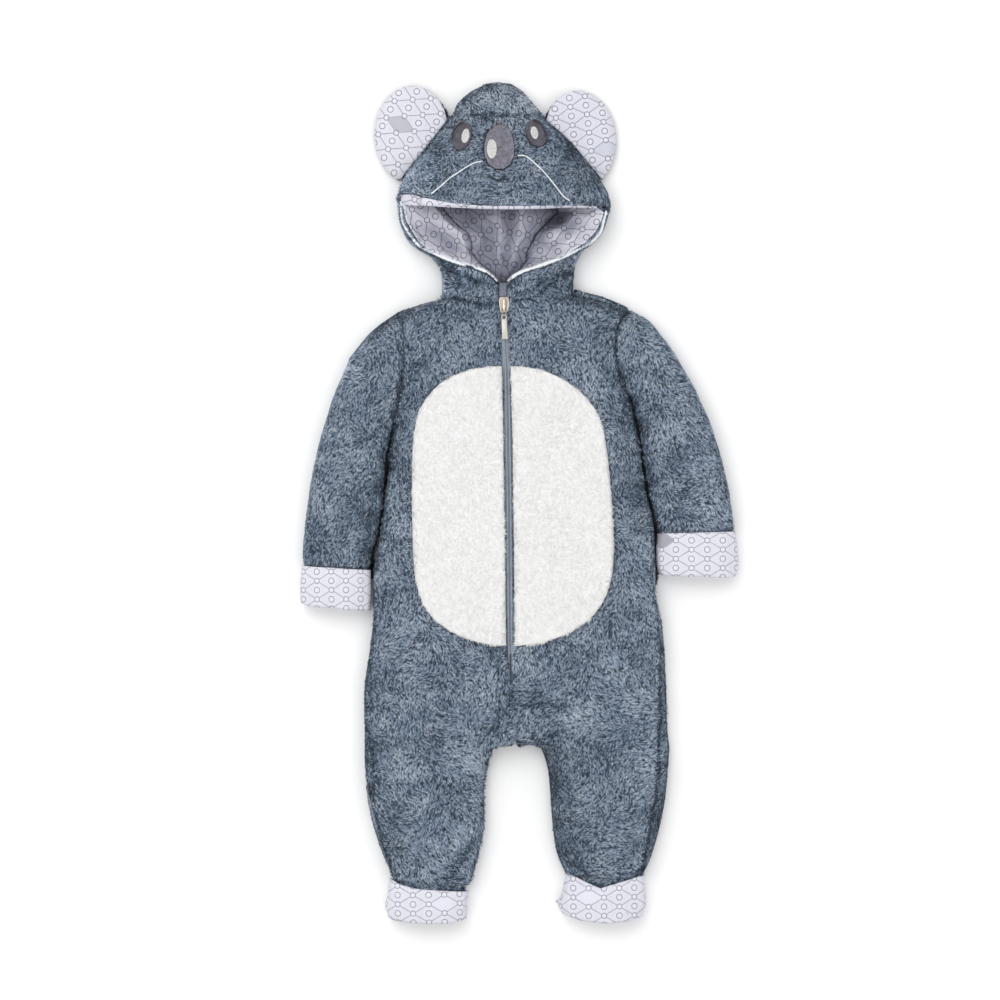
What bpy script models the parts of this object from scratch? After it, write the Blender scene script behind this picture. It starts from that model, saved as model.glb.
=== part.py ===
"""Hooded plush overall for a baby, laid flat on its back with the front facing up.

Units are metres; the tables below are in millimetres.  The garment lies on the
plane z = 0 with the hood towards +Y and the ankles towards -Y.  The tables count
from the garment's centre line; at the end everything moves by ORIGIN, so that the
origin is at the middle of the whole garment's footprint, on the floor.
"""
import math
from collections import namedtuple

import bmesh
import bpy
from mathutils import Vector

MM = 0.001
ORIGIN = (9.5, 1.45)  # middle of the footprint, counted from the centre line

# ---------------------------------------------------------------- driving sizes
WALL = 5.5            # plush with its cotton lining, from backing to pile tips
LINING = 1.3          # the printed cotton where it shows by itself
CUFF_WALL = 2.4       # turned-up cotton, two layers over the hem
PATCH_WALL = 2.4      # pile of the white belly panel above the front
SEAM_GAP = 0.3        # between two pieces that are sewn together
ARM_GAP = 0.9         # between the armhole and the sleeve
SEAM_PULL = 0.25      # how far each side seam stays back from its line
LIFT = 0.55           # between a panel and what lies on it
SEAM_Z = 12.0         # height of the side seams above the floor
TOP_POWER = 2.5       # fullness of the upper half of a laid tube
FLOOR_POWER = 3.2     # fullness of its lower half
FLOOR_PRESS = 1.3     # how far the lower half is pressed flat by the floor
ROW_STEP = 17.0       # spacing of the lofted sections on the body

PANEL_COLUMNS = 7     # faces across each body panel
TUBE_COLUMNS = 18     # faces round each sleeve and cuff
RIM_STEP = 0.9        # last short face beside a side seam

SLEEVE_TOP = 29.0     # height of the laid sleeves at the armhole
ZIP_HALF_GAP = 3.9    # from the zip's middle to the edge of each front
COIL_HALF = 3.4       # half width of the zip's coil
COIL_SINK = 1.3       # top of the coil below the fronts' upper side
COIL_LEAST = 0.25     # half width of the coil where the fronts close over it
COIL_PLAY = 0.5       # between the coil and each front
TAPE_HALF = 11.0      # half width of the tape below the fronts
TAPE_WALL = 1.2
TAPE_SINK = 1.0       # tape below the fronts' lower side
TAPE_SHORT = 8.0      # how far the tape ends above the end of the opening
ZIP_TOP_Y = 178.5
ZIP_NARROW_Y = -120.0  # below it the pile closes over the coil
ZIP_END_Y = -168.5
TUCK_FLOOR = 3.9      # underside of what is tucked into a cuff
LINE_STEPS = 60       # points along a section before its columns are spaced out

FLEECE_COLOUR = (0.155, 0.20, 0.255)
WHITE_COLOUR = (0.86, 0.86, 0.85)
PRINT_COLOUR = (0.74, 0.75, 0.82)
APPLIQUE_COLOUR = (0.075, 0.065, 0.085)
METAL_COLOUR = (0.62, 0.60, 0.56)

# ---------------------------------------------------------------- section tables
# Body: one row a section.  middle = centre front, inner = the edge on the middle
# side, seam = where front and back meet, arm = share of the armhole passed (None
# away from it), top = height of the section, turn = how far round the section
# the inner edge lies (90 = on top, 180 = at the inner leg), dip = how much
# lower the inner end lies in the plane than the outer one, floor = height of its
# underside.  Beside the armhole, y and outer follow from the sleeve.
Row = namedtuple("Row", "y middle inner outer seam arm top turn dip floor", defaults=(0.0,))
BODY_LEFT = [
    Row(180.0, -4.8, None, -59.5, 0.0, None, 29.4, 90, 0.0),
    Row(175.0, -4.4, None, -79.5, 0.0, None, 30.0, 90, 0.0),
    Row(None, -4.0, None, None, 0.0, 0.0, 30.4, 90, 0.0),
    Row(None, -3.9, None, None, 0.0, 0.06, 30.8, 90, 0.0),
    Row(None, -3.5, None, None, 0.0, 0.13, 31.1, 90, 0.0),
    Row(None, -3.0, None, None, 0.0, 0.28, 31.5, 90, 0.0),
    Row(None, -2.2, None, None, 0.0, 0.46, 32.0, 90, 0.0),
    Row(None, -1.5, None, None, 0.0, 0.66, 32.0, 90, 0.0),
    Row(None, -1.3, None, None, 0.0, 0.83, 32.0, 90, 0.0),
    Row(None, -0.9, None, None, 0.0, 0.93, 32.0, 90, 0.0),
    Row(None, -0.8, None, None, 0.0, 1.0, 32.0, 90, 0.0),
    Row(42.5, -0.4, None, -102.5, 0.0, None, 31.5, 90, 0.0),
    Row(29.5, -0.2, None, -105.0, 0.5, None, 31.0, 90, 0.0),
    Row(3.0, 0.2, None, -108.3, 1.0, None, 31.0, 90, 0.0),
    Row(-14.5, 0.5, None, -110.5, 1.5, None, 31.0, 90, 0.0),
    Row(-45.0, 0.8, None, -116.0, 1.5, None, 31.0, 90, 0.0),
    Row(-62.0, 1.0, None, -119.2, 1.5, None, 31.0, 90, 0.0),
    Row(-96.0, 1.4, None, -120.0, 1.5, None, 31.0, 90, 0.0),
    Row(-120.0, 1.8, None, -122.0, 1.5, None, 31.5, 90, 0.0),
    Row(-151.0, 2.2, None, -127.6, 1.5, None, 32.0, 90, 0.0),
    Row(ZIP_END_Y, 2.6, None, -129.3, 1.5, None, 32.5, 90, 0.0),
    Row(-190.5, 4.0, None, -128.6, 1.5, None, 32.5, 90, 0.0),
    Row(-202.0, 5.7, None, -128.0, 1.5, None, 32.5, 90, 0.0),
    Row(-209.5, None, -1.5, -128.0, 1.5, None, 32.5, 128, 0.0),
    Row(-215.5, None, -13.2, -128.2, 1.5, None, 33.0, 166, 0.0),
    Row(-226.0, None, -17.6, -128.9, 1.8, None, 33.5, 180, 0.0),
    Row(-243.5, None, -20.7, -128.0, 3.0, None, 34.0, 180, 0.0),
    Row(-261.0, None, -22.4, -126.0, 4.0, None, 34.0, 180, 0.0),
    Row(-283.0, None, -20.2, -120.6, 4.5, None, 33.0, 180, 0.0),
    Row(-305.0, None, -25.5, -113.5, 4.0, None, 31.0, 180, 1.0),
    Row(-319.0, None, -29.8, -107.4, 2.5, None, 29.4, 180, 4.0),
    Row(-327.4, None, -33.2, -105.4, 1.5, None, 28.0, 180, 6.0),
    Row(-330.4, None, -39.0, -100.6, 0.8, None, 22.8, 180, 6.4, TUCK_FLOOR),
    Row(-341.0, None, -39.4, -101.0, 0.5, None, 22.6, 180, 5.0, TUCK_FLOOR),
]
BODY_RIGHT = [
    Row(180.0, -4.8, None, 67.5, 0.0, None, 29.4, 90, 0.0),
    Row(176.5, -4.4, None, 90.2, 0.0, None, 30.0, 90, 0.0),
    Row(None, -4.0, None, None, 0.0, 0.0, 30.4, 90, 0.0),
    Row(None, -3.9, None, None, 0.0, 0.08, 30.8, 90, 0.0),
    Row(None, -3.5, None, None, 0.0, 0.18, 31.1, 90, 0.0),
    Row(None, -3.2, None, None, 0.0, 0.32, 31.5, 90, 0.0),
    Row(None, -2.8, None, None, 0.0, 0.51, 32.0, 90, 0.0),
    Row(None, -2.2, None, None, 0.0, 0.70, 32.0, 90, 0.0),
    Row(None, -1.8, None, None, 0.0, 0.85, 32.0, 90, 0.0),
    Row(None, -1.5, None, None, 0.0, 0.94, 32.0, 90, 0.0),
    Row(None, -1.4, None, None, 0.0, 1.0, 32.0, 90, 0.0),
    Row(91.0, -1.3, None, 106.3, 0.0, None, 32.0, 90, 0.0),
    Row(73.5, -0.8, None, 109.8, 0.0, None, 31.5, 90, 0.0),
    Row(56.0, -0.5, None, 113.0, 0.0, None, 31.5, 90, 0.0),
    Row(37.5, -0.3, None, 116.0, 0.5, None, 31.0, 90, 0.0),
    Row(5.0, 0.2, None, 122.5, 1.0, None, 31.0, 90, 0.0),
    Row(-20.5, 0.5, None, 128.8, 2.0, None, 31.0, 90, 0.0),
    Row(-41.0, 0.8, None, 130.6, 3.0, None, 31.0, 90, 0.0),
    Row(-63.0, 1.0, None, 131.2, 5.0, None, 31.0, 90, 0.0),
    Row(-85.0, 1.2, None, 136.4, 6.5, None, 31.0, 90, 0.0),
    Row(-120.0, 1.8, None, 142.0, 8.0, None, 31.5, 90, 0.0),
    Row(-151.0, 2.2, None, 142.6, 9.0, None, 32.0, 90, 0.0),
    Row(ZIP_END_Y, 2.6, None, 142.6, 9.5, None, 32.5, 90, 0.0),
    Row(-190.5, 4.0, None, 143.0, 9.5, None, 32.5, 90, 0.0),
    Row(-202.0, 5.7, None, 142.6, 9.5, None, 32.5, 90, 0.0),
    Row(-209.5, None, 12.8, 142.6, 9.5, None, 32.5, 128, 0.0),
    Row(-215.5, None, 28.6, 142.2, 9.5, None, 33.0, 166, 0.0),
    Row(-226.0, None, 34.3, 141.2, 9.5, None, 33.5, 180, 0.0),
    Row(-243.5, None, 35.6, 140.0, 9.0, None, 34.0, 180, 0.0),
    Row(-261.0, None, 37.0, 138.6, 9.0, None, 34.0, 180, 0.0),
    Row(-283.0, None, 38.3, 134.2, 8.5, None, 33.0, 180, 0.0),
    Row(-305.0, None, 41.4, 128.5, 7.0, None, 31.0, 180, 1.0),
    Row(-319.0, None, 46.4, 123.6, 5.0, None, 29.4, 180, 0.0),
    Row(-327.4, None, 50.2, 120.8, 3.0, None, 28.0, 180, -1.0),
    Row(-330.4, None, 54.8, 116.0, 1.5, None, 22.8, 180, -1.6, TUCK_FLOOR),
    Row(-341.0, None, 54.0, 116.4, 0.8, None, 22.6, 180, -1.6, TUCK_FLOOR),
]
# How far the back shows past the front along the first rows of each shoulder.
BACK_RISE = {"left": [0.0, 0.0], "right": [6.5, 4.5]}
BACK_RISE_POWER = 24

# Sleeves and cuffs: a section from the outer to the inner edge of the laid tube.
# bow = how far its middle bulges towards the body, at the armhole.
Section = namedtuple("Section", "outer_x outer_y inner_x inner_y top bow floor", defaults=(0.0,))
SLEEVES = {
    "left": [
        Section(-96.6, 169.2, -101.9, 69.4, 29.0, 5.6),
        Section(-120.2, 153.6, -106.2, 62.0, 29.5, 4.0),
        Section(-140.4, 128.0, -107.8, 51.5, 30.0, 2.0),
        Section(-154.5, 97.2, -109.6, 34.8, 30.0, 0.0),
        Section(-166.8, 57.6, -110.6, 18.8, 29.5, 0.0),
        Section(-174.8, 22.4, -112.0, -1.4, 29.0, 0.0),
        Section(-179.6, -12.8, -116.0, -25.2, 28.0, 0.0),
        Section(-182.2, -39.2, -119.8, -43.6, 27.0, 0.0),
        Section(-182.6, -50.8, -121.6, -54.6, 26.5, 0.0),
        Section(-178.0, -53.8, -125.6, -57.4, 21.6, 0.0, TUCK_FLOOR),
        Section(-178.8, -64.0, -125.4, -67.0, 21.4, 0.0, TUCK_FLOOR),
    ],
    "right": [
        Section(105.8, 172.4, 104.2, 102.8, 29.0, 10.4),
        Section(124.4, 162.4, 108.8, 95.0, 29.5, 7.0),
        Section(145.0, 136.0, 112.0, 87.5, 30.0, 3.0),
        Section(165.0, 101.6, 115.2, 71.0, 30.0, 0.0),
        Section(179.0, 70.8, 118.2, 50.0, 29.5, 0.0),
        Section(188.0, 42.6, 122.0, 25.6, 29.0, 0.0),
        Section(195.0, 13.6, 127.0, 4.4, 28.0, 0.0),
        Section(198.4, -10.0, 132.4, -13.2, 27.0, 0.0),
        Section(199.6, -20.6, 134.0, -22.4, 26.5, 0.0),
        Section(195.4, -23.6, 138.4, -25.4, 21.6, 0.0, TUCK_FLOOR),
        Section(197.0, -34.0, 138.0, -35.6, 21.4, 0.0, TUCK_FLOOR),
    ],
}
SLEEVE_CUFFS = {
    "left": [
        Section(-182.2, -54.8, -121.0, -58.6, 27.0, 0.0),
        Section(-183.4, -64.0, -120.2, -67.0, 28.0, 0.0),
        Section(-184.0, -80.0, -120.4, -84.0, 27.5, 0.0),
        Section(-183.6, -89.6, -121.2, -95.2, 25.5, 0.0),
    ],
    "right": [
        Section(200.0, -24.6, 134.0, -26.4, 27.0, 0.0),
        Section(202.0, -36.0, 132.4, -37.0, 28.0, 0.0),
        Section(203.0, -54.0, 132.6, -54.0, 27.5, 0.0),
        Section(201.4, -65.6, 134.4, -63.6, 25.5, 0.0),
    ],
}
LEG_CUFFS = {
    "left": [
        Section(-104.8, -331.4, -34.6, -338.0, 27.5, 0.0),
        Section(-107.0, -341.6, -35.4, -345.0, 28.5, 0.0),
        Section(-107.4, -355.0, -35.8, -358.0, 28.0, 0.0),
        Section(-103.0, -366.5, -37.0, -367.5, 26.0, 0.0),
    ],
    "right": [
        Section(120.4, -331.0, 50.6, -329.4, 27.5, 0.0),
        Section(121.0, -342.0, 47.8, -339.0, 28.5, 0.0),
        Section(120.8, -355.0, 43.4, -353.4, 28.0, 0.0),
        Section(115.6, -366.0, 50.0, -364.6, 26.0, 0.0),
    ],
}

# Hood: left and right = its edges, seam_z = height of the edge, top = height of
# the section, mouth_left and mouth_right = edges of the opening for the face.
HoodRow = namedtuple("HoodRow", "y left right seam_z top mouth_left mouth_right")
HOOD = [
    HoodRow(180.4, -59.0, 58.6, 12.0, 29.4, -9.2, -0.4),
    HoodRow(192.0, -59.4, 57.6, 12.5, 29.0, -10.4, -0.2),
    HoodRow(201.0, -59.6, 58.0, 13.0, 30.5, -19.0, 11.0),
    HoodRow(206.0, -60.0, 58.6, 13.5, 31.5, -29.0, 25.0),
    HoodRow(213.0, -63.6, 60.6, 14.0, 33.0, -50.0, 44.0),
    HoodRow(221.0, -77.0, 64.6, 14.5, 35.0, -68.6, 56.0),
    HoodRow(228.5, -88.4, 75.4, 15.0, 38.0, -79.0, 68.0),
    HoodRow(238.0, -93.0, 84.0, 15.5, 42.0, -85.0, 77.0),
    HoodRow(251.0, -98.0, 88.4, 16.0, 47.0, -91.6, 83.0),
    HoodRow(261.0, -99.0, 90.2, 16.0, 50.0, -93.6, 85.4),
    HoodRow(271.5, -97.4, 89.6, 16.0, 50.0, None, None),
    HoodRow(285.0, -93.0, 80.5, 16.0, 47.0, None, None),
    HoodRow(300.5, -80.6, 67.4, 15.5, 43.0, None, None),
    HoodRow(320.0, -65.6, 51.4, 15.0, 37.0, None, None),
    HoodRow(342.0, -49.8, 28.8, 14.0, 31.0, None, None),
    HoodRow(352.0, -48.0, 27.8, 13.5, 29.0, None, None),
]
HOOD_CORNER = {"left": 268.4, "right": 259.9}   # upper corners of the mouth
HOOD_FOLD_Y = 341.0                             # upper edge of the face panel
HOOD_COLUMNS = 12                               # faces across each side panel
# Sections of the side panels: beside the opening, at its corner and above it.
HOOD_LOWER_PLACES = [180.4, 187.0, 192.0, 197.0, 201.0, 206.0, 213.0, 221.0, 228.5, 238.0, 248.0]
HOOD_CORNER_STEPS = [-5.0, -2.2, 0.6]
HOOD_UPPER_PLACES = [279.0, 293.0, 307.0, 320.0, 331.0, HOOD_FOLD_Y]
FACE_LIFT = 0.6                                 # face panel above the side panels
# Lower edge of the face panel: (share of the width from the left, y).
MOUTH_EDGE = [(0.0, 269.0), (0.15, 270.0), (0.27, 265.0), (0.45, 261.5),
              (0.75, 261.8), (1.0, 261.4)]
# Centre panel of the hood, from the neck over the floor, up round the crown and
# back to the face panel.
CrownRow = namedtuple("CrownRow", "y left right mid_z edge_z")
CROWN = [
    CrownRow(180.4, -38.0, 28.0, 0.0, 0.0),
    CrownRow(210.0, -38.0, 28.0, 0.0, 0.0),
    CrownRow(245.0, -38.0, 28.0, 0.0, 0.0),
    CrownRow(280.0, -38.0, 28.0, 0.0, 0.0),
    CrownRow(315.0, -37.0, 27.0, 0.0, 0.0),
    CrownRow(341.6, -36.4, 24.6, 0.0, 0.0),
    CrownRow(345.0, -46.6, 26.6, 0.0, 12.6),
    CrownRow(352.0, -45.6, 24.6, 0.0, 13.0),
    CrownRow(360.0, -36.0, 15.4, 1.6, 13.0),
    CrownRow(366.5, -26.0, 6.4, 6.0, 13.0),
    CrownRow(370.4, -19.5, 1.6, 12.0, 13.2),
    CrownRow(367.6, -24.4, 5.8, 19.6, 14.4),
    CrownRow(362.0, -34.8, 13.8, 23.6, 14.4),
    CrownRow(355.0, -45.2, 23.6, 26.4, 14.4),
    CrownRow(348.6, -47.8, 27.4, 28.0, 14.4),
    CrownRow(343.0, -48.6, 28.4, 28.6, 14.4),
]
CROWN_FLAT_ROWS = 6   # rows of the table above that lie on the floor

# Lining inside the hood. Its rows run from one edge of the opening to the other:
# (y at the left end, y at the right end), from the neck up, then back under the face.
LINING_ROWS = [(194.0, 194.0), (197.5, 197.5), (201.5, 201.5), (206.0, 206.0), (213.0, 213.0),
               (221.0, 221.0), (228.5, 228.5), (238.0, 238.0), (248.0, 248.0), (263.4, 254.9)]
LINING_BACK = [(269.6, 263.0), (291.0, 291.0)]
LINING_BACK_Z = 7.6         # height of the lining at the back of the hood
LINING_BACK_WIDTH = 0.78    # its width there, as a share of that at the opening
# Over the edge of the opening: (mm from the side panel's end, mm below its outside).
LINING_EDGE = [(2.2, -0.2), (2.2, 3.4), (2.6, 6.8)]
LINING_EDGE_KEPT = 0.2      # what is left of that turned edge further back
# Its folds: shares of the width between the edges, and heights, at each mark's y.
Fold = namedtuple("Fold", "foot middle top foot_z middle_z top_z")
LINING_MARKS = (198.0, 232.0, 257.0)
LINING_FOLDS = [
    Fold(0.04, 0.13, 0.06, 17.0, 19.5, 21.5),
    Fold(0.09, 0.26, 0.12, 13.5, 18.5, 20.5),
    Fold(0.15, 0.31, 0.17, 10.6, 11.5, 12.5),
    Fold(0.25, 0.38, 0.30, 9.3, 8.6, 8.8),
    Fold(0.34, 0.43, 0.40, 9.0, 9.6, 10.5),
    Fold(0.42, 0.485, 0.475, 9.6, 13.6, 15.0),
    Fold(0.50, 0.54, 0.545, 9.0, 9.2, 9.4),
    Fold(0.58, 0.595, 0.60, 9.6, 14.2, 16.0),
    Fold(0.66, 0.64, 0.69, 9.0, 11.0, 12.5),
    Fold(0.75, 0.68, 0.79, 9.3, 8.8, 8.9),
    Fold(0.85, 0.73, 0.84, 10.6, 13.0, 12.5),
    Fold(0.91, 0.81, 0.89, 13.5, 18.0, 19.0),
    Fold(0.96, 0.90, 0.94, 17.0, 20.5, 21.5),
]
LINING_SEAMS = [2, 9]                           # folds between the three pieces
# Facing along the face panel's edge: (share of the width, y of its lower edge).
FACING_EDGE = [(0.118, 261.3), (0.18, 260.4), (0.31, 258.2), (0.49, 256.6),
               (0.63, 257.0), (0.78, 258.8), (0.88, 259.6)]
FACING_TUCK_Y = 2.2         # the facing starts this far below the panel's edge
FACING_DEPTH = 3.4          # least depth of the facing that shows
# Its section: (share of the way down from its start, or mm beyond the panel's
# edge for the part that runs back inside; drop below the edge).
FACING_SHOWN = [(0.0, 0.8), (0.6, 1.8), (1.0, 4.4)]
FACING_TURN = (0.6, 7.4)
FACING_INSIDE = (2.0, 9.4)

# Ears: ellipses laid beside the hood, cut off at its edge.
Ear = namedtuple("Ear", "x y half_x half_y")
EARS = {"left": Ear(-85.0, 325.2, 33.4, 43.2), "right": Ear(62.0, 320.0, 33.0, 44.0)}
EAR_SWING = {"left": (82.0, -66.0), "right": (82.0, -50.0)}   # ends of the outline
EAR_SEAM_Z = 6.0
EAR_TOP = 15.0
EAR_BACK_WALL = 4.0
EAR_GAP = 2.1         # between an ear's root and the hood's outline in the plane
EAR_TURN = 110.0      # how far round its section an ear reaches at its root

# Belly panel: its edges beside the zip, a row a section.
BellyRow = namedtuple("BellyRow", "y left right")
BELLY = [
    BellyRow(120.2, -14.0, 9.5),
    BellyRow(117.0, -38.0, 32.0),
    BellyRow(108.0, -58.0, 50.5),
    BellyRow(96.0, -70.5, 66.5),
    BellyRow(81.5, -79.4, 78.0),
    BellyRow(62.0, -83.0, 84.0),
    BellyRow(30.0, -84.6, 88.0),
    BellyRow(-12.0, -84.4, 91.0),
    BellyRow(-45.0, -83.6, 92.4),
    BellyRow(-72.0, -81.4, 90.0),
    BellyRow(-88.0, -76.0, 83.0),
    BellyRow(-102.0, -66.5, 72.0),
    BellyRow(-113.0, -51.0, 54.5),
    BellyRow(-120.5, -32.0, 36.0),
    BellyRow(-124.2, -14.0, 17.0),
]

# Applique on the face panel: ellipses with a tilt in degrees.
Spot = namedtuple("Spot", "x y half_x half_y tilt wall lift")
FACE_SPOTS = {
    "eye_left": Spot(-41.0, 321.8, 8.6, 13.0, -14.0, 1.3, 0.8),
    "eye_right": Spot(24.2, 324.2, 8.6, 12.6, 18.0, 1.3, 0.8),
    "eye_glint_left": Spot(-37.6, 321.4, 3.4, 6.6, -10.0, 0.7, 2.5),
    "eye_glint_right": Spot(22.6, 324.2, 3.2, 5.8, 12.0, 0.7, 2.5),
    "nose_glint": Spot(-14.6, 309.4, 4.4, 8.8, 0.0, 0.8, 3.1),
}
NOSE = Spot(-8.0, 312.6, 15.6, 21.4, 0.0, 2.0, 0.5)
NOSE_NARROWING = 0.34     # the nose is narrower at its upper end
SPOT_CORE = 0.16          # innermost ring of points, as a share of the outline

# Soft troughs on the upper side: ends, depth and half width.
Crease = namedtuple("Crease", "x0 y0 x1 y1 depth width")
CREASES = [
    Crease(12.0, -179.0, 50.0, -174.5, 2.4, 9.0),
    Crease(-8.0, -186.0, -34.0, -176.0, 1.8, 9.0),
    Crease(-32.0, -292.0, -52.0, -327.0, 2.6, 8.0),
    Crease(-78.0, -300.0, -84.0, -326.0, 1.6, 8.0),
    Crease(70.0, -304.0, 74.0, -326.0, 1.8, 8.0),
    Crease(100.0, -300.0, 94.0, -326.0, 1.6, 8.0),
    Crease(-92.0, 150.0, -70.0, 128.0, 1.6, 10.0),
    Crease(86.0, 140.0, 66.0, 118.0, 1.6, 10.0),
    Crease(120.0, 80.0, 146.0, 64.0, 2.0, 9.0),
    Crease(136.0, 2.0, 168.0, 8.0, 2.2, 8.0),
    Crease(-112.0, 36.0, -136.0, 26.0, 1.6, 9.0),
    Crease(-52.0, 174.0, -24.0, 168.0, 1.8, 8.0),
    Crease(44.0, 172.0, 18.0, 167.0, 1.8, 8.0),
]

# Zip slider and its pull tab.
SLIDER_Y = 174.5
SLIDER_LENGTH = 13.0
SLIDER_HALF = 4.3
SLIDER_NECK_HALF = 3.1
NECK_INSET = 0.8      # between the ends of the plate and those of its neck
NECK_SINK = 0.9       # foot of the neck below the fronts' upper side
PLATE = 1.5
PLATE_LIFT = 0.4      # plate above the fronts' upper side
ROOT = 0.4            # how far the bridge and the neck run into the plate
PLATE_BEVEL = 0.5
NECK_BEVEL = 0.2
BRIDGE_REACH = 3.4    # from the pivot to each foot of the bridge
BRIDGE_RADIUS = 0.6
BRIDGE_BEND_Y = 0.9   # size of the bend above each foot
BRIDGE_BEND_Z = 1.2
BRIDGE_PLAY = 0.35    # between the bridge and the pin
PIVOT_Y = 169.8
PIVOT_RISE = 3.1      # pivot above the fronts' upper side
PIN_RADIUS = 0.55
PULL_SET_Y = 165.0    # where the slider and the pull tab are centred on the zip
PULL_LENGTH = 26.0
PULL_HALF = 2.9
PULL_THICK = 1.1
PULL_ARM = 1.0        # width of the frame beside the pull tab's window
PULL_WINDOW = 5.4
PULL_BEVEL = 0.35
PIN_INSET = 0.1       # ends of the pin inside the pull tab's sides


# ---------------------------------------------------------------- small helpers
def clear_scene():
    for item in list(bpy.data.objects):
        bpy.data.objects.remove(item, do_unlink=True)


def power(value, exponent):
    """A power that keeps the sign of its base."""
    return math.copysign(abs(value) ** exponent, value)


def blend(a, b, share):
    return a + (b - a) * share


def eased(share):
    share = min(1.0, max(0.0, share))
    return share * share * (3.0 - 2.0 * share)


def curve_through(places, values, at):
    """Smooth curve through values at rising places, read at one place."""
    last = len(places) - 1
    if at <= places[0]:
        return values[0]
    if at >= places[last]:
        return values[last]
    k = max(i for i in range(last) if places[i] <= at)

    def slope(i):
        if i == 0 or i == last:
            return 0.0 if last < 2 else (values[min(i + 1, last)] - values[max(i - 1, 0)]) / (
                places[min(i + 1, last)] - places[max(i - 1, 0)])
        before = (values[i] - values[i - 1]) / (places[i] - places[i - 1])
        after = (values[i + 1] - values[i]) / (places[i + 1] - places[i])
        return 0.0 if before * after <= 0.0 else 2.0 * before * after / (before + after)

    span = places[k + 1] - places[k]
    t = (at - places[k]) / span
    return ((1 + 2 * t) * (1 - t) ** 2 * values[k] + t * (1 - t) ** 2 * span * slope(k)
            + t * t * (3 - 2 * t) * values[k + 1] + t * t * (t - 1) * span * slope(k + 1))


def read_table(table, column, at):
    """A column of a table that has y in its first column, read at one y."""
    rows = sorted(table, key=lambda row: row[0])
    return curve_through([row[0] for row in rows], [getattr(row, column) for row in rows], at)


def even_points(points, count, rim_start=False, rim_end=False):
    """The same line with count + 1 points at even distances, and one more close
    to an end where the wall stands up at a side seam."""
    lengths = [0.0]
    for a, b in zip(points, points[1:]):
        lengths.append(lengths[-1] + (b - a).length)
    wanted = [lengths[-1] * i / count for i in range(count + 1)]
    if rim_start:
        wanted.insert(1, RIM_STEP)
    if rim_end:
        wanted.insert(-1, lengths[-1] - RIM_STEP)
    result = []
    k = 0
    for want in wanted:
        while k < len(lengths) - 2 and lengths[k + 1] < want:
            k += 1
        step = lengths[k + 1] - lengths[k]
        share = 0.0 if step == 0.0 else (want - lengths[k]) / step
        result.append(points[k].lerp(points[k + 1], min(1.0, max(0.0, share))))
    return result


def pull_in(points, gap):
    """Shorten an open line by gap at both ends."""
    first = (points[1] - points[0]).normalized() * gap
    last = (points[-2] - points[-1]).normalized() * gap
    return [points[0] + first] + points[1:-1] + [points[-1] + last]


def crease_depth(x, y):
    depth = 0.0
    for c in CREASES:
        along = Vector((c.x1 - c.x0, c.y1 - c.y0))
        place = Vector((x - c.x0, y - c.y0))
        share = min(1.0, max(0.0, place.dot(along) / along.length_squared))
        distance = (place - along * share).length
        depth += c.depth * math.exp(-(distance / c.width) ** 2)
    return depth


def lens_point(angle, half_width, seam_z, top, floor=0.0, inset=0.0):
    """Point of a laid tube's section: 0 = outer edge, 90 = top, -90 = floor.
    With an inset it is a point of the wall's inner side."""
    turn = math.radians(angle)
    reach = half_width - inset
    if angle >= 0.0:
        rise = (top - inset - seam_z) * abs(math.sin(turn)) ** (2.0 / TOP_POWER)
        return reach * power(math.cos(turn), 2.0 / TOP_POWER), seam_z + rise
    drop = seam_z * FLOOR_PRESS * abs(math.sin(turn)) ** (2.0 / FLOOR_POWER)
    z = max(floor + inset, seam_z - drop)
    return reach * power(math.cos(turn), 2.0 / FLOOR_POWER), z


def lens_line(start, end, half_width, seam_z, top, floor=0.0, steps=48):
    return [lens_point(blend(start, end, i / steps), half_width, seam_z, top, floor)
            for i in range(steps + 1)]


# ---------------------------------------------------------------- mesh makers
MATERIALS = {}


def material(name, colour, roughness, metallic=0.0):
    made = bpy.data.materials.new(name)
    made.use_nodes = True
    shader = made.node_tree.nodes["Principled BSDF"]
    shader.inputs["Base Color"].default_value = (*colour, 1.0)
    shader.inputs["Roughness"].default_value = roughness
    shader.inputs["Metallic"].default_value = metallic
    return made


FINISHES = {
    "fleece": (FLEECE_COLOUR, 0.95, 0.0),
    "white": (WHITE_COLOUR, 0.95, 0.0),
    "print": (PRINT_COLOUR, 0.85, 0.0),
    "applique": (APPLIQUE_COLOUR, 0.9, 0.0),
    "metal": (METAL_COLOUR, 0.3, 1.0),
    "zip": (FLEECE_COLOUR, 0.7, 0.0),
}


def place(mesh, name, finish, collection):
    colour, roughness, metallic = FINISHES[finish]
    made = bpy.data.objects.new(name, mesh)
    mesh.materials.append(material(f"{name}_{finish}", colour, roughness, metallic))
    mesh.shade_smooth()
    mesh.set_sharp_from_angle(angle=math.radians(40))
    collection.objects.link(made)
    return made


def sheet_mesh(name, rows, closed=False):
    """Open surface through rows of points, given in millimetres."""
    count = len(rows[0])
    points = [tuple(value * MM for value in point) for row in rows for point in row]
    faces = []
    for r in range(len(rows) - 1):
        for c in range(count if closed else count - 1):
            d = (c + 1) % count
            a = r * count
            b = a + count
            faces.append((a + c, a + d, b + d, b + c))
    mesh = bpy.data.meshes.new(name)
    mesh.from_pydata(points, [], faces)
    mesh.update()
    return mesh


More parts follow.
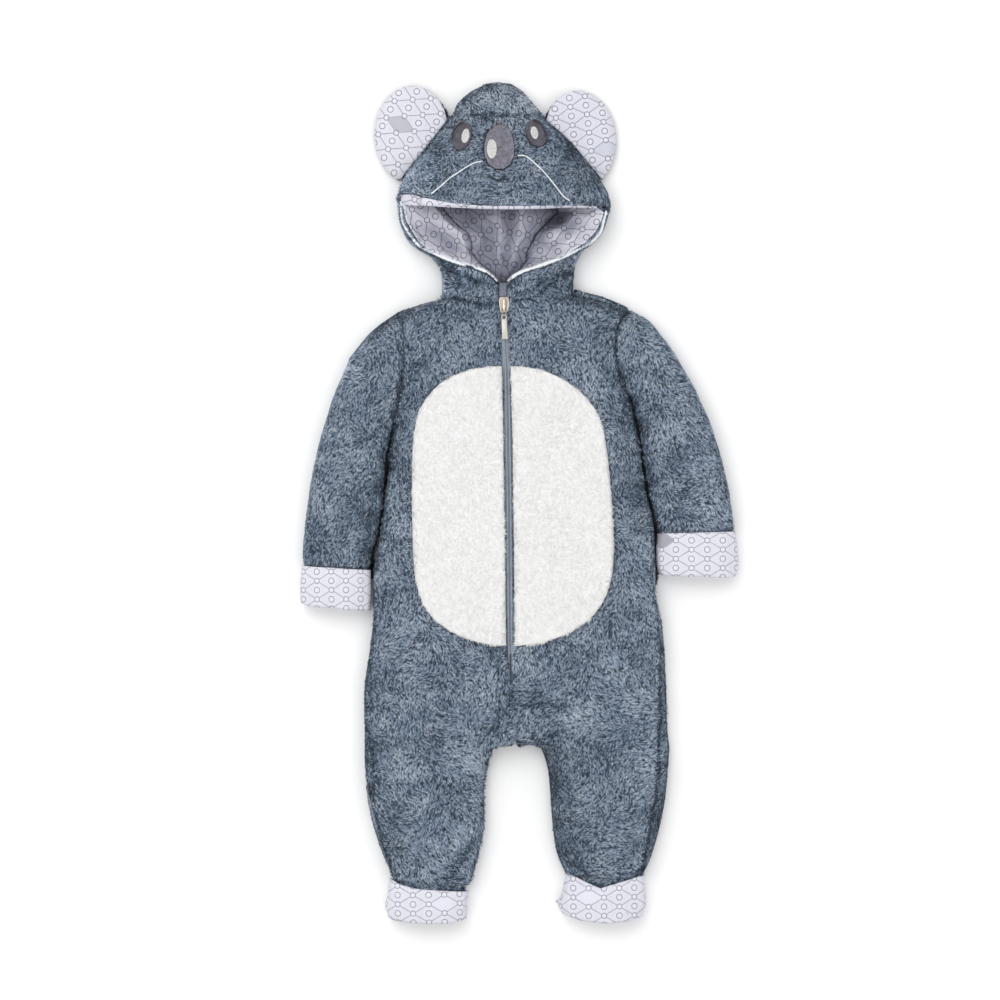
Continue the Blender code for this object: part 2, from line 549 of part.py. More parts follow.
def wall_mesh(name, outer, inner):
    """Closed wall between an outer and an inner surface of as many points."""
    mesh = sheet_mesh(name, outer)
    shell = bmesh.new()
    shell.from_mesh(mesh)
    columns = len(outer[0])
    twins = [shell.verts.new([value * MM for value in p]) for row in inner for p in row]
    shell.verts.ensure_lookup_table()
    near = shell.verts[:len(twins)]
    last = len(outer) - 1
    for r in range(last):
        for c in range(columns - 1):
            a = r * columns + c
            b = a + columns
            shell.faces.new((twins[a], twins[b], twins[b + 1], twins[a + 1]))
    edge = [r * columns for r in range(last)]
    edge += [last * columns + c for c in range(columns - 1)]
    edge += [r * columns + columns - 1 for r in range(last, 0, -1)]
    edge += [c for c in range(columns - 1, 0, -1)]
    for a, b in zip(edge, edge[1:] + edge[:1]):
        shell.faces.new((near[a], near[b], twins[b], twins[a]))
    bmesh.ops.recalc_face_normals(shell, faces=shell.faces)
    shell.to_mesh(mesh)
    shell.free()
    return mesh


def cloth(name, rows, wall, finish, collection, closed=False, outward=False, flip=False):
    """A cloth wall: an open surface, thickened inwards or outwards."""
    if flip:
        rows = rows[::-1]
    made = place(sheet_mesh(name, rows, closed), name, finish, collection)
    thick = made.modifiers.new("wall", "SOLIDIFY")
    thick.thickness = wall * MM
    thick.offset = 1.0 if outward else -1.0
    thick.use_even_offset = False
    return made


# ---------------------------------------------------------------- body sections
Ring = namedtuple("Ring", "y centre half seam_front seam_back top turn dip floor")


def armhole_point(side, share):
    """Place of the armhole's seam, in the plane, from the shoulder to the armpit."""
    section = SLEEVES[side][0]
    outer = Vector((section.outer_x, section.outer_y))
    inner = Vector((section.inner_x, section.inner_y))
    across = 1.0 - 2.0 * share
    return outer.lerp(inner, share) + bow_side(outer, inner, side) * (
        section.bow * (1.0 - across * across) + ARM_GAP)


def bow_side(outer, inner, side):
    """Direction in the plane from a sleeve's section towards the body."""
    half = (outer - inner) / 2.0
    towards = Vector((half.y, -half.x)).normalized()
    return towards if side == "left" else -towards


def sleeve_rise(share):
    return (SLEEVE_TOP - SEAM_Z) * (1.0 - abs(2.0 * share - 1.0) ** TOP_POWER) ** (
        1.0 / TOP_POWER)


def ring_of(row, side):
    """Section of one half of the body from one row of its table."""
    sign = -1.0 if side == "left" else 1.0
    y = row.y
    outer = row.outer
    front_angle = 0.0
    back_angle = 0.0
    if row.arm is not None:
        seam = armhole_point(side, row.arm)
        y = seam.y
        share = min(0.97, sleeve_rise(row.arm) / (row.top - SEAM_Z))
        front_angle = math.degrees(math.asin(share ** (TOP_POWER / 2.0)))
        reach = math.cos(math.radians(front_angle)) ** (2.0 / TOP_POWER)
        back_angle = -math.degrees(math.acos(reach ** (FLOOR_POWER / 2.0)))
        outer = row.middle + (seam.x - row.middle) / reach
    if row.middle is None:
        shape = abs(math.cos(math.radians(row.turn))) ** (2.0 / TOP_POWER)
        half = abs(row.inner - outer) / (1.0 + shape)
        centre = outer - sign * half
    else:
        half = abs(outer - row.middle)
        centre = row.middle
    if row.seam > 0.0:
        front_angle = math.degrees(math.acos((1.0 - row.seam / half) ** (TOP_POWER / 2.0)))
        back_angle = front_angle
    return Ring(y, centre, half, front_angle, back_angle, row.top, float(row.turn), row.dip,
                row.floor)


def body_rings(side):
    """Sections of one half of the body, at even steps between those of its table."""
    rings = [ring_of(row, side) for row in (BODY_LEFT if side == "left" else BODY_RIGHT)]
    places = []
    for a, b in zip(rings, rings[1:]):
        steps = max(1, round((a.y - b.y) / ROW_STEP))
        places += [blend(a.y, b.y, i / steps) for i in range(steps)]
    places.append(rings[-1].y)
    return [Ring(y, *[read_table(rings, column, y) for column in Ring._fields[1:]])
            for y in places]


def zip_gap(y):
    """Distance from the middle of the zip to the edge of each front."""
    if y < ZIP_END_Y + 0.1:
        return SEAM_GAP / 2.0
    share = (ZIP_NARROW_Y - y) / (ZIP_NARROW_Y - ZIP_END_Y)
    return blend(ZIP_HALF_GAP, SEAM_GAP / 2.0, min(1.0, max(0.0, share)))


def body_line(ring, sign, start, end, clear_middle, inset):
    """Points of one section, from the inner edge to the outer one."""
    line = []
    for i in range(LINE_STEPS + 1):
        across, z = lens_point(blend(start, end, i / LINE_STEPS), ring.half, SEAM_Z, ring.top,
                               ring.floor, inset)
        line.append(Vector((ring.centre + sign * across, ring.y, z)))
    if abs(start) <= 90.5:
        line = [p for p in line if sign * (p.x - ring.centre) > clear_middle]
        first = line[0].copy()
        first.x = ring.centre + sign * clear_middle
        line.insert(0, first)
    return line


def panel_rows(side, part, inset):
    sign = -1.0 if side == "left" else 1.0
    rows = []
    for index, ring in enumerate(body_rings(side)):
        front = part == "front"
        middle = zip_gap(ring.y) if front else SEAM_GAP / 2.0
        turn = ring.turn if front else -ring.turn
        seam = ring.seam_front if front else ring.seam_back
        line = body_line(ring, sign, turn, seam, middle, inset)
        points = even_points(line, PANEL_COLUMNS)
        shape = abs(math.cos(math.radians(ring.turn))) ** (2.0 / TOP_POWER)
        for p in points:
            inward = (ring.half - sign * (p.x - ring.centre)) / (ring.half * (1.0 + shape))
            p.y -= ring.dip * inward
            if front:
                above = max(0.0, p.z - SEAM_Z) / (ring.top - SEAM_Z)
                p.z -= crease_depth(p.x, p.y) * above
        if not front and index < len(BACK_RISE[side]):
            for c, p in enumerate(points):
                share = c / (len(points) - 1)
                p.y += BACK_RISE[side][index] * share ** BACK_RISE_POWER
        rows.append(pull_in(points, SEAM_PULL))
    return rows


def build_body(parts):
    for side in ("left", "right"):
        for part in ("front", "back"):
            name = f"{part}_{side}"
            mesh = wall_mesh(name, panel_rows(side, part, 0.0), panel_rows(side, part, WALL))
            place(mesh, name, "fleece", parts)


# ---------------------------------------------------------------- sleeves, cuffs
def tube_row(section, side):
    """Closed ring of a laid tube between its outer and inner edge."""
    outer = Vector((section.outer_x, section.outer_y))
    inner = Vector((section.inner_x, section.inner_y))
    middle = (outer + inner) / 2.0
    half = (outer - inner) / 2.0
    towards = bow_side(outer, inner, side)
    seam_z = SEAM_Z * section.top / SLEEVE_TOP
    line = lens_line(0.0, 180.0, half.length, seam_z, section.top, section.floor)
    line += lens_line(-180.0, 0.0, half.length, seam_z, section.top, section.floor)[1:]
    ring = []
    for across, z in line:
        share = across / half.length
        spot = middle + half * share + towards * section.bow * (1.0 - share * share)
        ring.append(Vector((spot.x, spot.y, z)))
    ring = even_points(ring, TUBE_COLUMNS)[:-1]
    for p in ring:
        above = max(0.0, p.z - seam_z) / (section.top - seam_z)
        p.z -= crease_depth(p.x, p.y) * above
    return ring


def build_tubes(parts):
    kinds = (("sleeve", SLEEVES, WALL, "fleece"),
             ("sleeve_cuff", SLEEVE_CUFFS, CUFF_WALL, "print"),
             ("leg_cuff", LEG_CUFFS, CUFF_WALL, "print"))
    for kind, tables, wall, finish in kinds:
        for side, table in tables.items():
            rows = [tube_row(section, side) for section in table]
            cloth(f"{kind}_{side}", rows, wall, finish, parts, closed=True,
                  flip=side == "left")


# ---------------------------------------------------------------- hood
def hood_value(column, y):
    return read_table(HOOD, column, y)


def hood_angle(y, x):
    """Angle of the hood's section at which its upper side passes x."""
    left = hood_value("left", y)
    right = hood_value("right", y)
    share = abs(x - (left + right) / 2.0) / ((right - left) / 2.0)
    return math.degrees(math.acos(min(1.0, share) ** (TOP_POWER / 2.0)))


def hood_point(side, y, angle):
    left = hood_value("left", y)
    right = hood_value("right", y)
    sign = -1.0 if side == "left" else 1.0
    across, z = lens_point(angle, (right - left) / 2.0, hood_value("seam_z", y),
                           hood_value("top", y))
    return Vector(((left + right) / 2.0 + sign * across, y, z))


def mouth_x(side, y):
    rows = [row for row in HOOD if row.mouth_left is not None]
    column = f"mouth_{side}"
    return read_table(rows, column, y)


def hood_side_rows(side):
    """Side panel: from its seam on the floor, round the edge, to the opening."""
    sign = -1.0 if side == "left" else 1.0
    rows = []
    corner = HOOD_CORNER[side]
    near_corner = [corner + step for step in HOOD_CORNER_STEPS]
    for y in HOOD_LOWER_PLACES + near_corner + HOOD_UPPER_PLACES:
        rim = hood_angle(y, mouth_x(side, y)) if y < corner else 0.0
        seam = read_table(CROWN[:CROWN_FLAT_ROWS], side, y)
        line = []
        for i in range(LINE_STEPS + 1):
            angle = blend(-90.0, rim, i / LINE_STEPS)
            p = hood_point(side, y, angle)
            if angle > 0.0 or sign * (p.x - seam) > SEAM_GAP:
                line.append(p)
        if y > corner:
            line = even_points(line, HOOD_COLUMNS - 1, rim_end=True)
        else:
            line = even_points(line, HOOD_COLUMNS)
        rows.append(pull_in(line, SEAM_GAP / 2.0))
    return rows


def face_point(share, down):
    """Point of the face panel: share across from the left, down from the fold."""
    lower = curve_through([s for s, _ in MOUTH_EDGE], [y for _, y in MOUTH_EDGE], share)
    y = blend(HOOD_FOLD_Y, lower, down)
    left = hood_value("left", y)
    right = hood_value("right", y)
    line = [Vector((x + (left + right) / 2.0, y, z)) for x, z in
            lens_line(180.0, 0.0, (right - left) / 2.0, hood_value("seam_z", y),
                      hood_value("top", y))]
    return even_points(line, 250)[round(share * 250)]


def face_rows(columns=12, rows=8):
    grid = []
    for r in range(rows + 1):
        shares = [0.0, 0.012] + [c / columns for c in range(1, columns)] + [0.988, 1.0]
        points = pull_in([face_point(share, r / rows) for share in shares], SEAM_GAP / 2.0)
        for p in points:
            p.z += FACE_LIFT
        grid.append(points)
    return grid


def face_height(x, y):
    """Height of the face panel's upper side, for what is sewn on it."""
    left = hood_value("left", y)
    right = hood_value("right", y)
    share = min(1.0, abs(x - (left + right) / 2.0) / ((right - left) / 2.0))
    seam_z = hood_value("seam_z", y)
    rise = (hood_value("top", y) - seam_z) * (1.0 - share ** TOP_POWER) ** (1.0 / TOP_POWER)
    return seam_z + FACE_LIFT + rise


def crown_rows(columns=6):
    rows = []
    for row in CROWN:
        half = (row.right - row.left) / 2.0
        middle = (row.right + row.left) / 2.0
        if row.mid_z > row.edge_z:
            line = lens_line(180.0, 0.0, half, row.edge_z, row.mid_z)
        else:
            line = lens_line(-180.0, 0.0, half, row.edge_z, row.edge_z, row.mid_z)
        points = [Vector((middle + across, row.y, z)) for across, z in line]
        points = even_points(points, columns, rim_start=True, rim_end=True)
        rows.append(pull_in(points, SEAM_GAP / 2.0))
    return rows


def build_hood(parts):
    cloth("hood_face", face_rows(), WALL, "fleece", parts, flip=True)
    cloth("hood_centre", crown_rows(), WALL, "fleece", parts, flip=True)
    for side in ("left", "right"):
        cloth(f"hood_side_{side}", hood_side_rows(side), WALL, "fleece", parts,
              flip=side == "right")


def mouth_point(side, y):
    return hood_point(side, y, hood_angle(y, mouth_x(side, y)))


def lining_edge(side, y):
    """Points of the lining over one edge of the opening, from the outside in."""
    end = mouth_point(side, y)
    along = end - hood_point(side, y, hood_angle(y, mouth_x(side, y)) - 1.0)
    rim = mouth_point(side, y + 0.5) - mouth_point(side, y - 0.5)
    out = along.cross(rim).normalized()
    out *= math.copysign(1.0, out.z)
    inwards = rim.cross(out).normalized()
    inwards *= math.copysign(1.0, inwards.dot(along))
    return [end + inwards * beyond - out * below for beyond, below in LINING_EDGE]


def lining_line(left_y, right_y):
    """One row of the lining: its left edge, its folds and its right edge."""
    left = lining_edge("left", left_y)
    right = lining_edge("right", right_y)
    line = list(left)
    for fold in LINING_FOLDS:
        mark = min(LINING_MARKS[-1], max(LINING_MARKS[0], left_y))
        share = curve_through(LINING_MARKS, (fold.foot, fold.middle, fold.top), mark)
        z = curve_through(LINING_MARKS, (fold.foot_z, fold.middle_z, fold.top_z), mark)
        line.append(Vector((blend(left[-1].x, right[-1].x, share),
                            blend(left_y, right_y, share), z)))
    return line + right[::-1]


def lining_rows(first, last):
    """Piece of the lining between two of a row's points, running back under the face."""
    lines = [lining_line(*row) for row in LINING_ROWS]
    reach = LINING_BACK[-1][0] - LINING_ROWS[-1][0]
    folds = len(LINING_EDGE) - 1
    inner = list(lines[-1])
    for i in range(folds):
        inner[i] = inner[folds].lerp(inner[i], LINING_EDGE_KEPT)
        inner[-1 - i] = inner[-1 - folds].lerp(inner[-1 - i], LINING_EDGE_KEPT)
    for left_y, right_y in LINING_BACK:
        back = (left_y - LINING_ROWS[-1][0]) / reach
        line = []
        for i, p in enumerate(inner):
            y = blend(left_y, right_y, i / (len(LINING_FOLDS) + 2 * len(LINING_EDGE) - 1))
            line.append(Vector((blend(p.x, p.x * LINING_BACK_WIDTH, back), y,
                                blend(p.z, LINING_BACK_Z, eased(back)))))
        lines.append(line)
    return [pull_in(line[first:last + 1], SEAM_GAP / 2.0) for line in lines]


def facing_rows(columns=14):
    """Printed facing turned out along the face panel's lower edge."""
    rows = []
    start = FACING_EDGE[0][0]
    end = FACING_EDGE[-1][0]
    for c in range(columns + 1):
        share = blend(start, end, c / columns)
        edge = face_point(share, 1.0)
        low = curve_through([s for s, _ in FACING_EDGE], [y for _, y in FACING_EDGE], share)
        low = min(low, edge.y - FACING_DEPTH)
        line = [(blend(edge.y - FACING_TUCK_Y, low, down), drop) for down, drop in FACING_SHOWN]
        line.append((low + FACING_TURN[0], FACING_TURN[1]))
        line.append((edge.y + FACING_INSIDE[0], FACING_INSIDE[1]))
        rows.append([Vector((edge.x, y, edge.z - drop)) for y, drop in line])
    return rows


def build_lining(parts):
    names = ("hood_lining_left", "hood_lining_centre", "hood_lining_right")
    edge = len(LINING_EDGE)
    ends = [0] + [edge + fold for fold in LINING_SEAMS] + [len(LINING_FOLDS) + 2 * edge - 1]
    for name, first, last in zip(names, ends, ends[1:]):
        cloth(name, lining_rows(first, last), LINING, "print", parts)
    cloth("hood_facing", facing_rows(), LINING, "print", parts)


# ---------------------------------------------------------------- ears
def ear_rows(side, part, columns=6, steps=9):
    ear = EARS[side]
    sign = -1.0 if side == "left" else 1.0
    rows = []
    for r in range(steps + 1):
        swing = math.radians(blend(*EAR_SWING[side], r / steps))
        y = ear.y + ear.half_y * math.sin(swing)
        reach = ear.half_x * math.cos(swing)
        outer = ear.x + sign * reach
        hood_edge = hood_value(side, min(y, HOOD[-1].y))
        inner = ear.x - sign * reach
        limit = hood_edge + sign * EAR_GAP
        inner = max(inner, limit) if side == "right" else min(inner, limit)
        width = abs(outer - inner)
        plump = min(1.0, width / ear.half_x) ** 0.5
        top = EAR_SEAM_Z + (EAR_TOP - EAR_SEAM_Z) * plump
        turn = EAR_TURN if part == "front" else -EAR_TURN
        full = width / (1.0 + abs(math.cos(math.radians(EAR_TURN))) ** (2.0 / TOP_POWER))
        line = []
        for i in range(LINE_STEPS + 1):
            across, z = lens_point(blend(turn, 0.0, i / LINE_STEPS), full, EAR_SEAM_Z, top)
            line.append(Vector((outer - sign * (full - across), y, z)))
        rows.append(pull_in(even_points(line, columns, rim_end=True), SEAM_GAP / 2.0))
    return rows


def build_ears(parts):
    for side in ("left", "right"):
        right = side == "right"
        cloth(f"ear_front_{side}", ear_rows(side, "front"), LINING, "print", parts, flip=right)
        cloth(f"ear_back_{side}", ear_rows(side, "back"), EAR_BACK_WALL, "fleece", parts,
              flip=not right)


# ---------------------------------------------------------------- what lies on
def front_height(side, x, y):
    """Height of a front's upper side at one place below the shoulder."""
    sign = -1.0 if side == "left" else 1.0
    rings = body_rings(side)
    centre = read_table(rings, "centre", y)
    half = read_table(rings, "half", y)
    top = read_table(rings, "top", y)
    share = min(1.0, sign * (x - centre) / half)
    rise = (top - SEAM_Z) * (1.0 - abs(share) ** TOP_POWER) ** (1.0 / TOP_POWER)
    z = SEAM_Z + rise
    return z - crease_depth(x, y) * rise / (top - SEAM_Z)


def build_belly(parts, columns=5, steps=15):
    for side in ("left", "right"):
        sign = -1.0 if side == "left" else 1.0
        rings = body_rings(side)
        rows = []
        for r in range(steps + 1):
            y = blend(BELLY[0].y, BELLY[-1].y, (1.0 - math.cos(math.pi * r / steps)) / 2.0)
            inner = read_table(rings, "centre", y) + sign * ZIP_HALF_GAP
            outer = read_table(BELLY, side, y)
            rows.append([Vector((x, y, front_height(side, x, y) + LIFT)) for x in
                         [blend(inner, outer, c / columns) for c in range(columns + 1)]])
        cloth(f"belly_{side}", rows, PATCH_WALL, "white", parts, outward=True,
              flip=side == "right")


def spot_rows(spot, narrowing, rings, around):
    rows = []
    for r in range(rings + 1):
        size = blend(SPOT_CORE, 1.0, r / rings)
        line = []
        for a in range(around):
            turn = 2.0 * math.pi * a / around
            up = math.sin(turn)
            waist = 1.0 - narrowing * (0.5 + 0.5 * up)
            flat = Vector((spot.half_x * math.cos(turn) * waist, spot.half_y * up)) * size
            lean = math.radians(spot.tilt)
            x = spot.x + flat.x * math.cos(lean) - flat.y * math.sin(lean)
            y = spot.y + flat.x * math.sin(lean) + flat.y * math.cos(lean)
            line.append(Vector((x, y, face_height(x, y) + spot.lift)))
        rows.append(line)
    return rows


def spot_mesh(name, rows):
    """Disc through rings of points, closed at its middle."""
    mesh = sheet_mesh(name, rows, closed=True)
    shell = bmesh.new()
    shell.from_mesh(mesh)
    shell.verts.ensure_lookup_table()
    shell.faces.new([shell.verts[i] for i in range(len(rows[0]) - 1, -1, -1)])
    bmesh.ops.recalc_face_normals(shell, faces=shell.faces)
    if sum(face.normal.z for face in shell.faces) < 0.0:
        bmesh.ops.reverse_faces(shell, faces=shell.faces)
    shell.to_mesh(mesh)
    shell.free()
    return mesh


def build_spots(parts):
    spots = [(name, spot, 0.0) for name, spot in FACE_SPOTS.items()]
    spots.append(("nose", NOSE, NOSE_NARROWING))
    for name, spot, narrowing in spots:
        small = "glint" in name
        finish = "white" if small else "applique"
        rows = spot_rows(spot, narrowing, 1 if small else 2, 10 if small else 14)
        made = place(spot_mesh(name, rows), name, finish, parts)
        thick = made.modifiers.new("wall", "SOLIDIFY")
        thick.thickness = spot.wall * MM
        thick.offset = 1.0
        thick.use_even_offset = False


# ---------------------------------------------------------------- zip
def zip_line(y):
    """Middle of the zip and height of the fronts beside it."""
    x = read_table(body_rings("left"), "centre", y)
    return x, front_height("left", x, y)


def build_zip(parts, steps=18):
    """Tape below the fronts with the closed coil standing up between them."""
    profile = []
    for r in range(steps + 1):
        y = blend(ZIP_TOP_Y, ZIP_END_Y + TAPE_SHORT, r / steps)
        x, top = zip_line(y)
        tape = top - WALL - TAPE_SINK
        crest = top - COIL_SINK
        coil = max(COIL_LEAST, min(COIL_HALF, zip_gap(y) - COIL_PLAY))
        outline = [(-TAPE_HALF, tape - TAPE_WALL), (TAPE_HALF, tape - TAPE_WALL),
                   (TAPE_HALF, tape), (coil, tape), (coil, crest), (-coil, crest),
                   (-coil, tape), (-TAPE_HALF, tape)]
        profile.append([Vector((x + across, y, z)) for across, z in outline])
    mesh = sheet_mesh("zip_tape", profile, closed=True)
    shell = bmesh.new()
    shell.from_mesh(mesh)
    shell.verts.ensure_lookup_table()
    count = len(profile[0])
    last = len(profile) * count - count
    shell.faces.new([shell.verts[i] for i in range(count)])
    shell.faces.new([shell.verts[last + i] for i in range(count)])
    bmesh.ops.recalc_face_normals(shell, faces=shell.faces)
    shell.to_mesh(mesh)
    shell.free()
    place(mesh, "zip_tape", "zip", parts)


def block(name, low, high, bevel):
    """Mesh object of a bevelled box between two corners given in millimetres."""
    bpy.ops.mesh.primitive_cube_add(size=1.0)
    made = bpy.context.object
    made.name = name
    sizes = [(b - a) * MM for a, b in zip(low, high)]
    centre = [(a + b) / 2.0 * MM for a, b in zip(low, high)]
    for vertex in made.data.vertices:
        vertex.co = Vector([c * size + m for c, size, m in zip(vertex.co, sizes, centre)])
    edges = made.modifiers.new("edges", "BEVEL")
    edges.width = bevel * MM
    edges.segments = 2
    edges.limit_method = "ANGLE"
    return made


def rod(name, points, radius):
    """Mesh object of a round wire through points given in millimetres."""
    curve = bpy.data.curves.new(name, "CURVE")
    curve.dimensions = "3D"
    curve.bevel_depth = radius * MM
    curve.bevel_resolution = 2
    curve.use_fill_caps = True
    spline = curve.splines.new("POLY")
    spline.points.add(len(points) - 1)
    for spot, point in zip(spline.points, points):
        spot.co = (*[value * MM for value in point], 1.0)
    wire = bpy.data.objects.new(name, curve)
    bpy.context.scene.collection.objects.link(wire)
    bpy.context.view_layer.update()
    graph = bpy.context.evaluated_depsgraph_get()
    mesh = bpy.data.meshes.new_from_object(wire.evaluated_get(graph))
    shell = bmesh.new()
    shell.from_mesh(mesh)
    bmesh.ops.remove_doubles(shell, verts=shell.verts, dist=0.00001)
    bmesh.ops.recalc_face_normals(shell, faces=shell.faces)
    shell.to_mesh(mesh)
    shell.free()
    made = bpy.data.objects.new(name, mesh)
    made.matrix_world = wire.matrix_world
    bpy.data.objects.remove(wire, do_unlink=True)
    bpy.context.scene.collection.objects.link(made)
    return made


def file_under(item, collection):
    for holder in list(item.users_collection):
        holder.objects.unlink(item)
    collection.objects.link(item)


def combine(base, others, operation, tools):
    """Join to, or cut from, a base object; the other objects become guides."""
    for other in others:
        step = base.modifiers.new(other.name, "BOOLEAN")
        step.operation = operation
        step.object = other
        other.hide_render = True
        other.display_type = "WIRE"
        file_under(other, tools)


def build_slider(parts, tools):
    """Slider on the closed coil, with its bridge and the pull tab's pivot."""
    x = zip_line(PULL_SET_Y)[0]
    top = zip_line(PIVOT_Y)[1]
    half_length = SLIDER_LENGTH / 2.0
    plate_top = top + PLATE_LIFT + PLATE
    base = block("zip_slider", (x - SLIDER_HALF, SLIDER_Y - half_length, top + PLATE_LIFT),
                 (x + SLIDER_HALF, SLIDER_Y + half_length, plate_top), PLATE_BEVEL)
    neck_reach = half_length - NECK_INSET
    neck = block("slider_neck", (x - SLIDER_NECK_HALF, SLIDER_Y - neck_reach, top - NECK_SINK),
                 (x + SLIDER_NECK_HALF, SLIDER_Y + neck_reach, top + PLATE_LIFT + ROOT),
                 NECK_BEVEL)
    crest = top + PIVOT_RISE + PIN_RADIUS + BRIDGE_PLAY + BRIDGE_RADIUS
    foot = plate_top - ROOT
    bridge = rod("slider_bridge", [
        (x, PIVOT_Y + BRIDGE_REACH, foot),
        (x, PIVOT_Y + BRIDGE_REACH, crest - BRIDGE_BEND_Z),
        (x, PIVOT_Y + BRIDGE_REACH - BRIDGE_BEND_Y, crest),
        (x, PIVOT_Y - BRIDGE_REACH + BRIDGE_BEND_Y, crest),
        (x, PIVOT_Y - BRIDGE_REACH, crest - BRIDGE_BEND_Z),
        (x, PIVOT_Y - BRIDGE_REACH, foot)], BRIDGE_RADIUS)
    combine(base, (neck, bridge), "UNION", tools)
    dress(base, "zip_slider", "metal", parts)


def build_pull(parts, tools):
    """Pull tab: a framed plate whose round end bar is the hinge pin."""
    x = zip_line(PULL_SET_Y)[0]
    pivot_z = zip_line(PIVOT_Y)[1] + PIVOT_RISE
    half_thick = PULL_THICK / 2.0
    plate = block("zip_pull", (x - PULL_HALF, PIVOT_Y - PULL_LENGTH, pivot_z - half_thick),
                  (x + PULL_HALF, PIVOT_Y, pivot_z + half_thick), PULL_BEVEL)
    window = block("pull_window",
                   (x - PULL_HALF + PULL_ARM, PIVOT_Y - PULL_WINDOW, pivot_z - 2.0 * PULL_THICK),
                   (x + PULL_HALF - PULL_ARM, PIVOT_Y + PULL_ARM, pivot_z + 2.0 * PULL_THICK),
                   NECK_BEVEL)
    pin_reach = PULL_HALF - PIN_INSET
    pin = rod("pull_pin", [(x - pin_reach, PIVOT_Y, pivot_z), (x + pin_reach, PIVOT_Y, pivot_z)],
              PIN_RADIUS)
    combine(plate, (window,), "DIFFERENCE", tools)
    combine(plate, (pin,), "UNION", tools)
    dress(plate, "zip_pull", "metal", parts)


def dress(made, name, finish, collection):
    """Give an object its finish and file it under the garment."""
    colour, roughness, metallic = FINISHES[finish]
    made.data.materials.clear()
    made.data.materials.append(material(f"{name}_{finish}", colour, roughness, metallic))
    file_under(made, collection)


def main():
    clear_scene()
    parts = bpy.data.collections.new("koala_overall")
    tools = bpy.data.collections.new("guides")
    bpy.context.scene.collection.children.link(parts)
    bpy.context.scene.collection.children.link(tools)
    build_body(parts)
    build_tubes(parts)
    build_hood(parts)
    build_lining(parts)
    build_ears(parts)
    build_belly(parts)
    build_spots(parts)
    build_zip(parts)
    build_slider(parts, tools)
    build_pull(parts, tools)
    for made in list(parts.objects) + list(tools.objects):
        made.location.x -= ORIGIN[0] * MM
        made.location.y -= ORIGIN[1] * MM


main()
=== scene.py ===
"""Looks of a onesie pajama: a hooded plush overall for a baby, laid flat, face up."""

import math
from functools import partial

import bmesh
import bpy
import numpy as np
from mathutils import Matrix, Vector
from mathutils.bvhtree import BVHTree
from mathutils.kdtree import KDTree


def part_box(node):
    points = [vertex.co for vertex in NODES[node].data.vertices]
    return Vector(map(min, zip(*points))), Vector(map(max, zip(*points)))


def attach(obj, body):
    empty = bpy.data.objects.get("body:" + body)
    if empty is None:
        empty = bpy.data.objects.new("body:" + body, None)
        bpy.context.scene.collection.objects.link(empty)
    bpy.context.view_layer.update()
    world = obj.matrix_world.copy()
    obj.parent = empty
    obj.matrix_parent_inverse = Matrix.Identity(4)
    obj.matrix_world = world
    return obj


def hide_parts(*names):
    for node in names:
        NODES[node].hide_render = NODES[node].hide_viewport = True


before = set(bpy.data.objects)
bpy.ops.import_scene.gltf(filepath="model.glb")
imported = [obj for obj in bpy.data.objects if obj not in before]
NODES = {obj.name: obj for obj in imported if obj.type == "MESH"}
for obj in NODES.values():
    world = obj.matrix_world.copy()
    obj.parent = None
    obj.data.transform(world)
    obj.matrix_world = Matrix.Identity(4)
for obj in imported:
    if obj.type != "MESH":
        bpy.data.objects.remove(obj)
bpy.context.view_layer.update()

MM = 0.001
TABLE_ORIGIN = np.array([9.5, 1.45])  # the tables' mm at the frame's origin
OPEN_RAYS = 11  # rays that test how open a spot is
OPEN_REACH = 0.09  # metres that a ray goes
OPEN_START = 0.0006  # metres above the cloth where it starts
LEAST_OPEN = 0.12  # share of free rays under which no pile grows
RIM_ANGLE = math.radians(40)  # a sharper edge is the cloth's rim
FLOOR_GAP = 0.0002  # metres under the cloth
OVER_ALL = 0.2  # metres, above all of the garment
UP = np.array([0.0, 0.0, 1.0])


# ---------------- colour and nodes


def linear(text):
    """Linear RGBA of an sRGB hex colour."""
    parts = [int(text[i : i + 2], 16) / 255 for i in (0, 2, 4)]
    return [p / 12.92 if p <= 0.04045 else ((p + 0.055) / 1.055) ** 2.4 for p in parts] + [1.0]


